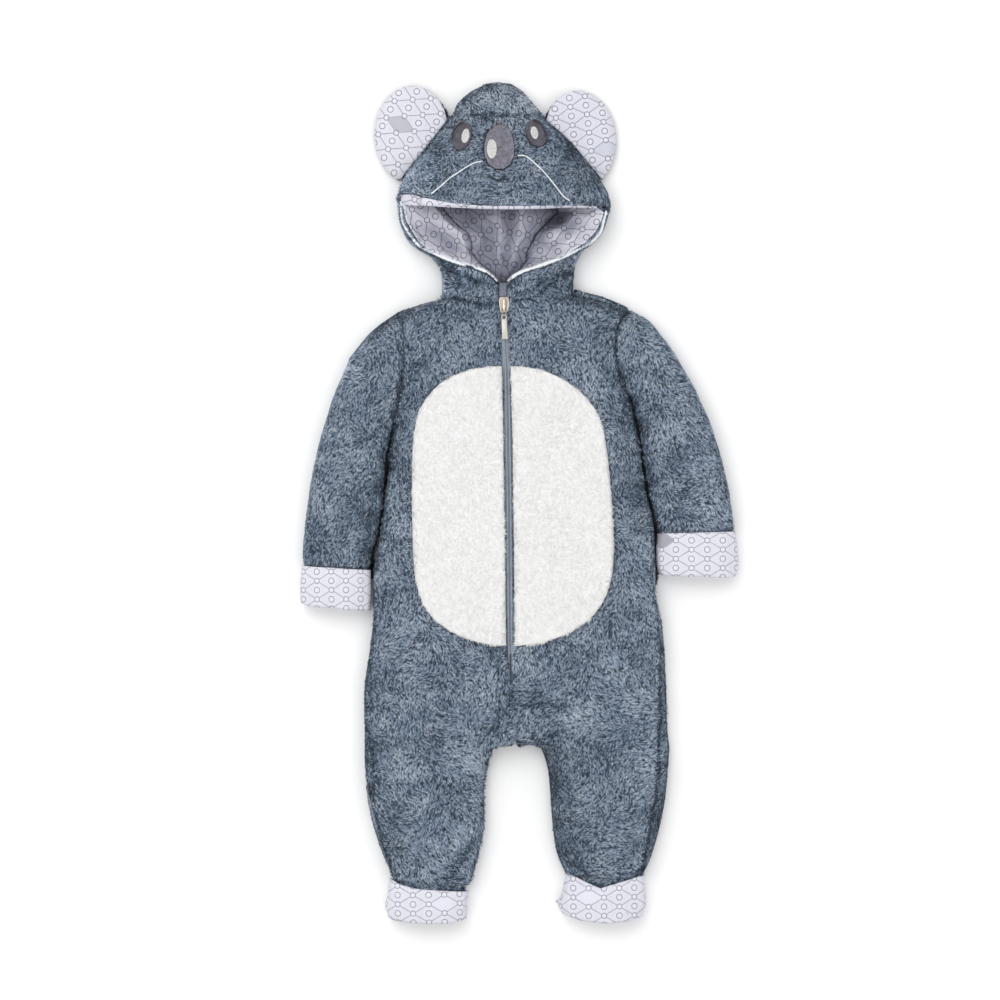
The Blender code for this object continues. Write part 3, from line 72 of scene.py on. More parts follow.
class Graph:
    """A material and short calls that add nodes to it and give back a socket."""

    def __init__(self, name, color="808080", roughness=0.85, **inputs):
        self.mat = bpy.data.materials.new(name)
        self.mat.use_nodes = True
        self.tree = self.mat.node_tree
        self.shader = self.tree.nodes["Principled BSDF"]
        self.mat.diffuse_color = linear(color)
        for key, value in {"Base Color": color, "Roughness": roughness, **inputs}.items():
            self.feed(self.shader.inputs[key.replace("_", " ")], value)

    def add(self, kind, inputs=(), **props):
        node = self.tree.nodes.new("ShaderNode" + kind)
        for key, value in props.items():
            setattr(node, key, value)
        for key, value in dict(inputs).items():
            self.feed(node.inputs[key], value)
        return node

    def feed(self, socket, value):
        if isinstance(value, bpy.types.NodeSocket):
            self.tree.links.new(value, socket)
        else:
            socket.default_value = linear(value) if isinstance(value, str) else value

    def math(self, operation, a, b=0.0, c=0.0):
        return self.add("Math", {0: a, 1: b, 2: c}, operation=operation).outputs[0]

    def step(self, value, low, high, to_low=0.0, to_high=1.0):
        inputs = dict(enumerate((value, low, high, to_low, to_high)))
        return self.add("MapRange", inputs, interpolation_type="SMOOTHSTEP").outputs[0]

    def mix(self, factor, a, b, blend="MIX"):
        node = self.add("Mix", {0: factor, 6: a, 7: b}, data_type="RGBA", blend_type=blend)
        return node.outputs[2]

    def ramp(self, factor, *stops):
        node = self.add("ValToRGB", {0: factor})
        band = node.color_ramp
        while len(band.elements) < len(stops):
            band.elements.new(1.0)
        for element, (place, color) in zip(band.elements, stops):
            element.position = place
            element.color = linear(color)
        return node.outputs[0]

    def uv(self, layer):
        return self.add("UVMap", uv_map=layer).outputs[0]

    def noise(self, vector, scale, detail=2.0, roughness=0.5):
        inputs = {"Vector": vector, "Scale": scale, "Detail": detail, "Roughness": roughness}
        return self.add("TexNoise", inputs).outputs[0]

    def place(self):
        return self.add("TexCoord").outputs["Object"]

    def bump(self, height, strength, distance):
        node = self.add("Bump", {"Height": height, "Strength": strength, "Distance": distance})
        self.feed(self.shader.inputs["Normal"], node.outputs[0])

    def color(self, socket):
        self.feed(self.shader.inputs["Base Color"], socket)


# ---------------- shared shape helpers


def waves(seed, scale, count=9):
    """A smooth random field over x, y in mm, about -1 to 1, with features of that scale."""
    own = np.random.default_rng(seed)
    angle = own.uniform(0, math.tau, count)
    reach = scale * own.uniform(0.7, 1.7, count)
    phase = own.uniform(0, math.tau, count)
    kx, ky = np.cos(angle) * math.tau / (2 * reach), np.sin(angle) * math.tau / (2 * reach)

    def field(x, y):
        total = 0.0
        for a, b, p in zip(kx, ky, phase):
            total = total + np.sin(a * x + b * y + p)
        return total / math.sqrt(count * 0.9)

    return field


def tree_of(nodes):
    """One tree of some nodes' triangles."""
    points, faces = [], []
    for node in nodes:
        base = len(points)
        points += [v.co.copy() for v in node.data.vertices]
        faces += [[base + i for i in p.vertices] for p in node.data.polygons]
    return BVHTree.FromPolygons(points, faces)


TREE = tree_of(NODES.values())
NODE_TREES = {}
DOWN = Vector((0, 0, -1))


def top_of(names, x, y):
    """Height in mm of the highest of the named nodes at x, y (table mm), or None."""
    start = Vector(((x - TABLE_ORIGIN[0]) * MM, (y - TABLE_ORIGIN[1]) * MM, OVER_ALL))
    best = None
    for name in names:
        if name not in NODE_TREES:
            NODE_TREES[name] = tree_of([NODES[name]])
        hit = NODE_TREES[name].ray_cast(start, DOWN)[0]
        if hit and (best is None or hit.z / MM > best):
            best = hit.z / MM
    return best


def turned(x, y, turn, x0, y0):
    """x, y counted from x0, y0 along axes turned by so many degrees."""
    c, s = math.cos(math.radians(turn)), math.sin(math.radians(turn))
    return (x - x0) * c + (y - y0) * s, (y - y0) * c - (x - x0) * s


def by_start(table, name, other):
    """The table's row whose key is the longest that the name starts with."""
    keys = [k for k in table if name.startswith(k)]
    return table[max(keys, key=len)] if keys else other


def fade(value, low, width):
    """0 up to low, 1 from low + width on; with a width below 0 the other way round."""
    return np.clip((value - low) / width, 0, 1)


def run_of(points):
    """Length from the first point to each."""
    steps = np.linalg.norm(np.diff(points, axis=0), axis=1)
    return np.concatenate([[0], np.cumsum(steps)])


def spline(a, b, c, d, t):
    """Smooth curve from b to c, between a and d, at the shares t."""
    return 0.5 * (2 * b + (c - a) * t + (2 * a - 5 * b + 4 * c - d) * t * t
                  + (3 * b - a - 3 * c + d) * t**3)


def ring_faces(rows, sides):
    """Faces of a tube of rows of points, with its two ends."""
    faces = []
    for r in range(rows - 1):
        for k in range(sides):
            n = (k + 1) % sides
            faces.append((r * sides + k, r * sides + n, (r + 1) * sides + n, (r + 1) * sides + k))
    faces.append(tuple(range(sides))[::-1])
    faces.append(tuple((rows - 1) * sides + k for k in range(sides)))
    return faces


def smooth_line(points, step):
    """Points every step mm along a smooth line through the given ones."""
    p = np.array(points, dtype=float)
    p = np.vstack([2 * p[0] - p[1], p, 2 * p[-1] - p[-2]])
    t = np.linspace(0, 1, 12, endpoint=False)[:, None]
    out = np.vstack([spline(*four, t) for four in zip(p, p[1:], p[2:], p[3:])] + [p[-2:-1]])
    run = run_of(out)
    at = np.linspace(0, run[-1], max(2, round(run[-1] / step) + 1))
    return np.stack([np.interp(at, run, out[:, k]) for k in range(out.shape[1])], axis=1)


def laid(points, names, lift, even=2):
    """Points x, y (table mm) with the height of what is below them, plus lift."""
    heights = [top_of(names, x, y) for x, y in points]
    known = [i for i, z in enumerate(heights) if z is not None]
    z = np.interp(range(len(points)), known, [heights[i] for i in known])
    for _ in range(even):
        z = np.convolve(np.pad(z, 1, mode="edge"), [0.25, 0.5, 0.25], mode="valid")
    return np.column_stack([points, z + lift])


def in_frame(points):
    """Table mm as metres in the frame."""
    points = np.array(points, dtype=float)
    return (points - np.array([*TABLE_ORIGIN, 0.0])) * MM


def unit(vectors):
    """The vectors at length 1."""
    return vectors / np.maximum(np.linalg.norm(vectors, axis=-1, keepdims=True), 1e-9)


# A stitch's arch: places along it, height and thickness there, as shares.
ARCH_PLACE = np.array([0.0, 0.2, 0.5, 0.8, 1.0])
ARCH_RISE = np.array([-1.0, 0.7, 1.0, 0.7, -1.0])
ARCH_THICK = np.array([0.6, 0.95, 1.0, 0.95, 0.6])


def threads(name, starts, ends, lift, radius, material, sides=5, body="garment"):
    """Stitches: short arched threads from starts to ends, in table mm; lift is the arch's."""
    starts, ends = in_frame(starts), in_frame(ends)
    along = ends - starts
    side = unit(np.cross(along, UP))
    up = unit(np.cross(side, along))
    middle = starts[:, None] + along[:, None] * ARCH_PLACE[:, None]
    middle = middle + up[:, None] * (ARCH_RISE * lift * MM)[:, None]
    turn = (np.arange(sides) / sides * math.tau)[:, None]
    ring = side[:, None, None] * np.cos(turn) + up[:, None, None] * np.sin(turn)
    vertices = middle[:, :, None] + ring * (ARCH_THICK * radius * MM)[:, None, None]
    faces = ring_faces(len(ARCH_PLACE), sides)
    size = len(ARCH_PLACE) * sides
    every = [tuple(i * size + v for v in f) for i in range(len(starts)) for f in faces]
    obj = mesh_object(name, vertices.reshape(-1, 3), every, material, body)
    smooth(obj, 60)
    return obj


def tube(name, path, width, height, material, sides=8, twist=0.0, ply=0.0, body="garment"):
    """A cord along a path in table mm; twist in turns a mm, ply = depth of its grooves."""
    centre = in_frame(path)
    along = unit(np.gradient(centre, axis=0))
    side = unit(np.cross(along, UP))
    up = np.cross(side, along)
    run = run_of(centre) / MM
    width = np.broadcast_to(width, len(path))
    turn = np.arange(sides) / sides * math.tau
    groove = 1 - ply * np.abs(np.sin(turn + run[:, None] * twist * math.tau))
    across = (np.cos(turn) * width[:, None] / 2 * groove * MM)[:, :, None]
    rise = (np.sin(turn) * height / 2 * groove * MM)[:, :, None]
    vertices = centre[:, None] + side[:, None] * across + up[:, None] * rise
    faces = ring_faces(len(path), sides)
    obj = mesh_object(name, vertices.reshape(-1, 3), faces, material, body)
    smooth(obj, 60)
    return obj


def satin(name, path, width, pitch, slant, lift, radius, material, jitter=0.1, seed=1):
    """Satin stitch: threads close together across a path of table mm, slanted."""
    own = np.random.default_rng(seed)
    line = smooth_line(path, pitch)
    along = unit(np.gradient(line, axis=0))
    side = np.column_stack([-along[:, 1], along[:, 0], np.zeros(len(line))])
    reach = (width / 2) * own.uniform(1 - jitter, 1 + jitter, len(line))[:, None]
    lean = along * slant + along * own.normal(0, jitter * 0.6, len(line))[:, None]
    drop = np.array([0, 0, -0.25])
    return threads(name, line - side * reach - lean + drop, line + side * reach + lean + drop,
                   lift, radius, material)


def hemisphere(count):
    """Directions spread over the upper half, more of them near the pole."""
    out = []
    for i in range(count):
        z = 1 - 0.86 * (i + 0.5) / count
        turn = i * 2.39996
        r = math.sqrt(1 - z * z)
        out.append((r * math.cos(turn), r * math.sin(turn), z))
    return np.array(out)


RAYS = hemisphere(OPEN_RAYS)


def openness(points, normals):
    """Share of rays from each point that get away from the garment."""
    out = np.empty(len(points))
    for i, (p, n) in enumerate(zip(points, normals)):
        n = Vector(n)
        side = n.orthogonal().normalized()
        other = n.cross(side)
        start = Vector(p) + n * OPEN_START
        free = 0
        for a, b, c in RAYS:
            if TREE.ray_cast(start, side * a + other * b + n * c, OPEN_REACH)[0] is None:
                free += 1
        out[i] = free / OPEN_RAYS
    return out


def spread(points, values, reach):
    """Each value raised to nearly the highest one within reach mm."""
    tree = KDTree(len(points))
    for i, p in enumerate(points):
        tree.insert(p, i)
    tree.balance()
    out = values.copy()
    for i, p in enumerate(points):
        near = [values[j] for _, j, _ in tree.find_range(p, reach * MM)]
        out[i] = max(values[i], 0.9 * max(near))
    return out


# Soft folds, in table mm: from x, y to x, y, depth (below 0 a ridge), half width.
TRUNK_FOLDS = (
    (-52, 168, -24, 172, 1.2, 4), (40, 172, 14, 172, 1.2, 4), (30, -206, 48, -200, 1.6, 3.5),
    (53, -316, 68, -326, 1.8, 3), (-70, 130, -96, 84, 2.2, 7), (-60, 142, -92, 118, 1.8, 6),
    (-84, 100, -92, 60, 1.6, 5), (74, 128, 104, 96, 2.0, 7), (90, 112, 98, 66, 1.8, 6),
    (-112, 40, -84, 14, 1.4, 7), (-116, -20, -88, -34, 1.2, 8), (112, 22, 84, 2, 1.4, 7),
    (118, -46, 92, -52, 1.2, 7), (-6, -140, -8, -198, 2.0, 4), (14, -178, 50, -176, 1.8, 4.5),
    (-24, -190, -62, -172, 1.5, 6), (-30, -205, -70, -214, 1.6, 6), (36, -206, 82, -222, 1.6, 6),
    (-112, -150, -70, -158, 1.3, 7), (120, -150, 84, -160, 1.3, 7),
    (-116, -228, -84, -246, 1.6, 6), (-38, -252, -72, -240, 1.5, 6),
    (-30, -292, -56, -330, 2.0, 5), (-112, -300, -88, -318, 1.5, 5),
    (-76, -300, -80, -334, 1.4, 4.5), (40, -262, 70, -250, 1.5, 6), (124, -244, 96, -256, 1.5, 6),
    (52, -306, 70, -326, 1.6, 5), (118, -300, 98, -320, 1.5, 5), (-50, -96, -20, -120, 1.0, 8),
    (60, -88, 30, -118, 1.0, 8),
)
BELLY_FOLDS = (
    (-60, 96, -30, 60, 0.9, 8), (58, 90, 34, 50, 0.9, 8), (-70, 20, -34, 4, 0.8, 9),
    (72, -10, 36, -24, 0.8, 9), (-62, -72, -26, -92, 0.9, 8), (64, -80, 28, -104, 0.9, 8),
)
SLEEVE_FOLDS = (
    (-118, 96, -132, 62, 1.8, 6), (-106, 70, -150, 52, 1.4, 6), (-168, 30, -134, 8, 1.5, 6),
    (-142, 26, -160, 2, 1.2, 5), (-176, -12, -150, -28, 1.6, 6), (-140, -24, -150, -54, 1.5, 5),
    (-172, -34, -164, -56, 1.3, 4), (118, 128, 140, 92, 1.8, 6), (112, 96, 150, 82, 1.5, 6),
    (170, 62, 136, 44, 1.5, 6), (138, 42, 158, 16, 1.2, 5), (184, 22, 158, 6, 1.6, 6),
    (146, 8, 154, -20, 1.5, 5), (184, -2, 178, -24, 1.3, 4),
)
HOOD_FOLDS = (
    (-58, 212, -12, 195, 1.5, 2.6), (-52, 206, -18, 183, 1.5, 2.4), (48, 214, 2, 194, 1.4, 2.6),
    (52, 202, 12, 186, 1.5, 2.4), (-50, 182, -15, 174, 1.5, 2.6), (42, 194, 4, 177, 1.5, 2.6),
    (-46, 336, 28, 353, -1.7, 4.5), (-44, 325, 44, 341, 1.5, 5), (-30, 352, 10, 364, 0.9, 4),
    (-66, 300, -52, 330, 1.2, 6), (40, 330, 62, 306, 1.4, 6), (-78, 282, -60, 268, 1.4, 6),
    (78, 290, 60, 272, 1.4, 6), (-20, 272, 24, 272, 0.8, 6), (-60, 206, -28, 190, 1.8, 5),
    (-52, 188, -30, 198, 1.2, 4), (60, 204, 30, 194, 1.8, 5), (54, 186, 26, 192, 1.2, 4),
)
CUFF_FOLDS = (
    (-176, -68, -172, -94, 0.8, 3.5), (-160, -66, -158, -92, 0.7, 3),
    (-146, -66, -150, -90, 0.9, 3.5), (134, -34, 138, -60, 0.9, 4),
    (160, -34, 164, -62, 0.7, 3.5), (178, -36, 176, -60, 0.8, 3.5),
    (-98, -344, -96, -368, 0.9, 4), (-74, -342, -78, -366, 0.8, 4), (56, -342, 62, -362, 0.9, 4),
    (84, -344, 86, -366, 0.8, 4),
)
EAR_FOLDS = ((-104, 330, -76, 322, 0.4, 5), (66, 330, 40, 322, 0.4, 5))
FOLDS = {
    "front": TRUNK_FOLDS,
    "back": TRUNK_FOLDS,
    "belly": BELLY_FOLDS,
    "sleeve": SLEEVE_FOLDS,
    "sleeve_cuff": CUFF_FOLDS,
    "leg_cuff": CUFF_FOLDS,
    "hood_face": HOOD_FOLDS,
    "hood_centre": HOOD_FOLDS,
    "hood_side": HOOD_FOLDS,
    "ear": EAR_FOLDS,
}


def fold_depth(rows, x, y):
    """Millimetres that the folds sink the cloth at x, y."""
    total = np.zeros_like(x)
    for i, (x0, y0, x1, y1, depth, width) in enumerate(rows):
        dx, dy = x1 - x0, y1 - y0
        length = math.hypot(dx, dy)
        along = ((x - x0) * dx + (y - y0) * dy) / length
        across = ((y - y0) * dx - (x - x0) * dy) / length
        t = along / length
        bend = 0.10 * length * np.sin(math.pi * t) * (1 if i % 2 else -1)
        own = width * (0.75 + 0.35 * np.sin(2.1 * i + 3.0 * t))
        ends = fade(np.minimum(t, 1 - t), -0.25, 0.45)
        total += depth * ends * ends * (3 - 2 * ends) * np.exp(-(((across - bend) / own) ** 2))
    return total


ripple = waves(5, 26)
ripple_fine = waves(6, 9)


def table_xy(points):
    """x and y in table mm of points in the frame."""
    return points[:, 0] / MM + TABLE_ORIGIN[0], points[:, 1] / MM + TABLE_ORIGIN[1]


def refine(name, longest):
    """A copy of a node's mesh, welded and cut down to edges no longer than that."""
    bm = bmesh.new()
    bm.from_mesh(NODES[name].data)
    bmesh.ops.remove_doubles(bm, verts=bm.verts, dist=1e-6)
    for _ in range(7):
        edges = [e for e in bm.edges if e.calc_length() > longest]
        if not edges:
            break
        bmesh.ops.subdivide_edges(bm, edges=edges, cuts=1)
        bmesh.ops.triangulate(bm, faces=[f for f in bm.faces if len(f.verts) > 3])
    return bm


class Shell:
    """The cloth of one node: finer than the CAD, softened, folded, with its openness.

    Longest is its longest edge in mm, soften how many times it is softened, inset the mm
    that it sinks, swell its ripples in mm, and rounds how often its rim is evened out.
    """

    def __init__(self, name, longest, soften, inset=0.0, swell=0.0, gap_pile=False,
                 shift=None, rounds=0):
        bm = refine(name, longest * MM)
        bm.normal_update()
        start = np.array([v.co[:] for v in bm.verts])
        normals = np.array([v.normal[:] for v in bm.verts])
        rim = np.zeros(len(start), dtype=bool)
        for e in bm.edges:
            if len(e.link_faces) == 2 and e.calc_face_angle() > RIM_ANGLE:
                rim[e.verts[0].index] = rim[e.verts[1].index] = True
        seen = openness(start, normals)
        self.open = spread(start, seen, 8.0) if gap_pile else seen
        inner = [v for v, at_rim in zip(bm.verts, rim) if not at_rim]
        for _ in range(soften):
            bmesh.ops.smooth_vert(bm, verts=inner, factor=0.5, use_axis_x=True,
                                  use_axis_y=True, use_axis_z=True)
        beside = {v: [] for v in bm.verts if rim[v.index]}
        for e in bm.edges:
            a, b = e.verts
            if a in beside and b in beside and len(e.link_faces) == 2:
                if e.calc_face_angle() > RIM_ANGLE * 0.6:
                    beside[a].append(b)
                    beside[b].append(a)
        for _ in range(rounds):
            moved = {v: v.co * 0.5 + (n[0].co + n[1].co) * 0.25
                     for v, n in beside.items() if len(n) == 2}
            for v, place in moved.items():
                v.co = place
        points = np.array([v.co[:] for v in bm.verts])
        x, y = table_xy(start)
        outside = fade(self.open, 0.05, 0.2) * np.where(rim, 0.3, 1.0)
        if gap_pile:
            steep = np.clip(1 - np.abs(normals[:, 2]) * 1.7, 0, 1)
            wall = steep * fade(seen, 0.6, -0.2) * fade(self.open, 0.1, 0.1)
            points += normals * (wall * (inset + 1.2) * MM)[:, None]
        points -= normals * (outside * inset * MM)[:, None]
        sink = fold_depth(by_start(FOLDS, name, ()), x, y)
        sink = sink + swell * (ripple(x, y) + 0.35 * ripple_fine(x, y))
        top = fade(start[:, 2] / MM, 9, 6)
        under = fade(start[:, 2] / MM, 4, -4)
        points[:, 2] -= sink * MM * top
        points[:, 2] += np.clip(sink, 0, 1.2) * MM * under
        if shift:
            points = points + np.stack(shift(x, y, start[:, 2] / MM), axis=1) * MM
        points[:, 2] = np.maximum(points[:, 2], FLOOR_GAP)
        for v, p in zip(bm.verts, points):
            v.co = p
        self.mesh = bpy.data.meshes.new(name)
        bm.to_mesh(self.mesh)
        bm.free()
        self.name = name
        self.sink = sink * top
        self.seen = seen
        self.points = points
        self.object = new_object(name + "_cloth", self.mesh)
        smooth(self.object, 50)


def new_object(name, data):
    """An object in the scene."""
    obj = bpy.data.objects.new(name, data)
    bpy.context.scene.collection.objects.link(obj)
    return obj


def smooth(obj, angle):
    """Smooth shading with edges sharper than that many degrees kept sharp."""
    mesh = obj.data
    mesh.polygons.foreach_set("use_smooth", [True] * len(mesh.polygons))
    mesh.set_sharp_from_angle(angle=math.radians(angle))


def finish_piece(obj, material, node=None, body="garment"):
    """Gives a piece its material and body, and the node that it replaces."""
    obj.data.materials.clear()
    obj.data.materials.append(material)
    if node:
        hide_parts(node)
    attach(obj, body)


def mesh_object(name, vertices, faces, material, body="garment"):
    """A piece of vertices in the frame and faces."""
    mesh = bpy.data.meshes.new(name)
    mesh.from_pydata([tuple(v) for v in vertices], [], [tuple(f) for f in faces])
    mesh.update()
    obj = new_object(name, mesh)
    finish_piece(obj, material, body=body)
    return obj


# ---------------- pile

# What is sewn on the pile, table mm: ellipses x, y, half x, half y, tilt in degrees.
SPOTS = {
    "eye_left": (-41.0, 321.8, 8.6, 13.0, -14.0),
    "eye_right": (24.2, 324.2, 8.6, 12.6, 18.0),
    "nose": (-8.0, 312.6, 14.6, 21.0, 0.0),
}
CHEEKS = (
    ((-23.3, 298.8), (-30.0, 297.4), (-37.4, 293.4), (-44.5, 288.6), (-50.6, 284.7), (-59.4, 276.8),
     (-67.3, 270.6)),
    ((8.4, 304.0), (14.5, 303.6), (22.0, 298.0), (29.5, 290.9), (36.0, 283.4), (41.8, 275.9),
     (48.0, 268.0), (53.2, 264.4)),
)
CHEEK_BARE, SMILE_BARE, EDGE_BARE = 0.7, 1.2, 1.3  # mm without pile beside their lines
SMILE = ((-16.6, 286.6), (-13.4, 283.0), (-9.2, 281.0), (-5.0, 282.8), (-1.6, 286.0))


def to_line(x, y, points):
    """Step from x, y to the nearest place of a line through points, and its length."""
    best = np.full_like(x, 1e9)
    step = np.zeros((len(x), 2))
    for (x0, y0), (x1, y1) in zip(points, points[1:]):
        dx, dy = x1 - x0, y1 - y0
        t = np.clip(((x - x0) * dx + (y - y0) * dy) / (dx * dx + dy * dy), 0, 1)
        to_x, to_y = -(x - x0 - t * dx), -(y - y0 - t * dy)
        far = np.hypot(to_x, to_y)
        nearer = far < best
        best = np.where(nearer, far, best)
        step[nearer] = np.stack([to_x, to_y], axis=1)[nearer]
    return step, best


def near_line(x, y, points):
    """Distance of x, y from a line through points."""
    return to_line(x, y, points)[1]


# The lining's overlocked edge, table mm: from each upper corner down to the zip.
MOUTH_LINES = {
    "left": ((-81.0, 270.6), (-92.6, 270.0), (-94.6, 262.0), (-94.0, 252.0), (-92.2, 244.0),
             (-84.6, 232.4), (-78.8, 225.8), (-66.0, 219.0), (-51.6, 212.6), (-39.0, 208.6),
             (-27.0, 205.4), (-20.0, 202.4)),
    "right": ((84.4, 260.0), (86.0, 256.0), (84.0, 248.0), (81.2, 238.0), (73.0, 229.0),
              (64.4, 224.2), (48.0, 215.4), (30.0, 208.6), (12.0, 202.4), (3.6, 197.4),
              (0.2, 191.6)),
}


# Middle of the narrow gap between each sleeve and the body, table mm.
GAPS = (
    ((-102, 68), (-102.5, 61), (-106.5, 41), (-107.8, 17), (-110.4, 2), (-115, -20), (-120, -44),
     (-122, -66)),
    ((109, 92), (110.1, 85), (114.8, 61), (119.9, 31), (126, -3), (129.6, -27), (130.6, -44),
     (131.4, -70)),
)


# Where the facing turns out over the left corner of the mouth, table mm.
CORNER_PATCH = ((-94.2, 270.2), (-82.0, 270.0), (-76.0, 267.0), (-80.5, 260.6), (-88.0, 261.4),
                (-93.4, 264.4))


def inside(x, y, outline):
    """True where x, y are inside an outline."""
    hit = np.zeros_like(x, dtype=bool)
    for (x0, y0), (x1, y1) in zip(outline, outline[1:] + outline[:1]):
        if y0 != y1:
            hit ^= ((y0 > y) != (y1 > y)) & (x < (x1 - x0) * (y - y0) / (y1 - y0) + x0)
    return hit


def clear_of(x, y):
    """True where no applique or embroidery holds the pile down."""
    free = np.ones_like(x, dtype=bool)
    for cx, cy, half_x, half_y, tilt in SPOTS.values():
        u, v = turned(x, y, tilt, cx, cy)
        free &= (u / (half_x - 0.3)) ** 2 + (v / (half_y - 0.3)) ** 2 > 1
    for line in CHEEKS:
        free &= near_line(x, y, line) > CHEEK_BARE
    free &= near_line(x, y - 0.6, SMILE) > SMILE_BARE
    for line in MOUTH_LINES.values():
        free &= near_line(x, y, line) > EDGE_BARE
    free &= ~inside(x, y, CORNER_PATCH)
    return free


def on_brow(points):
    """True beside the seam between crown and face, which the pile hides."""
    x, y = table_xy(points)
    return (np.abs(y - 343) < 10) & (np.abs(x + 6) < 60) & (points[:, 2] > 16 * MM)


# How much tufts, and the blades of a tuft, differ: standard deviations.
TUFT_TURN, TUFT_TONE, TUFT_CURL = 0.34, 0.19, 0.8
BLADE_TONE, BLADE_CURL = 0.12, 0.35
ROOT_DEPTH = 0.25  # mm that a blade's root is in the cloth
GAP_SIDE, GAP_HEIGHT, GAP_PAINTED_SHADE = 4.5, 12.5, 0.03  # mm beside a gap's middle, mm, painted shade there
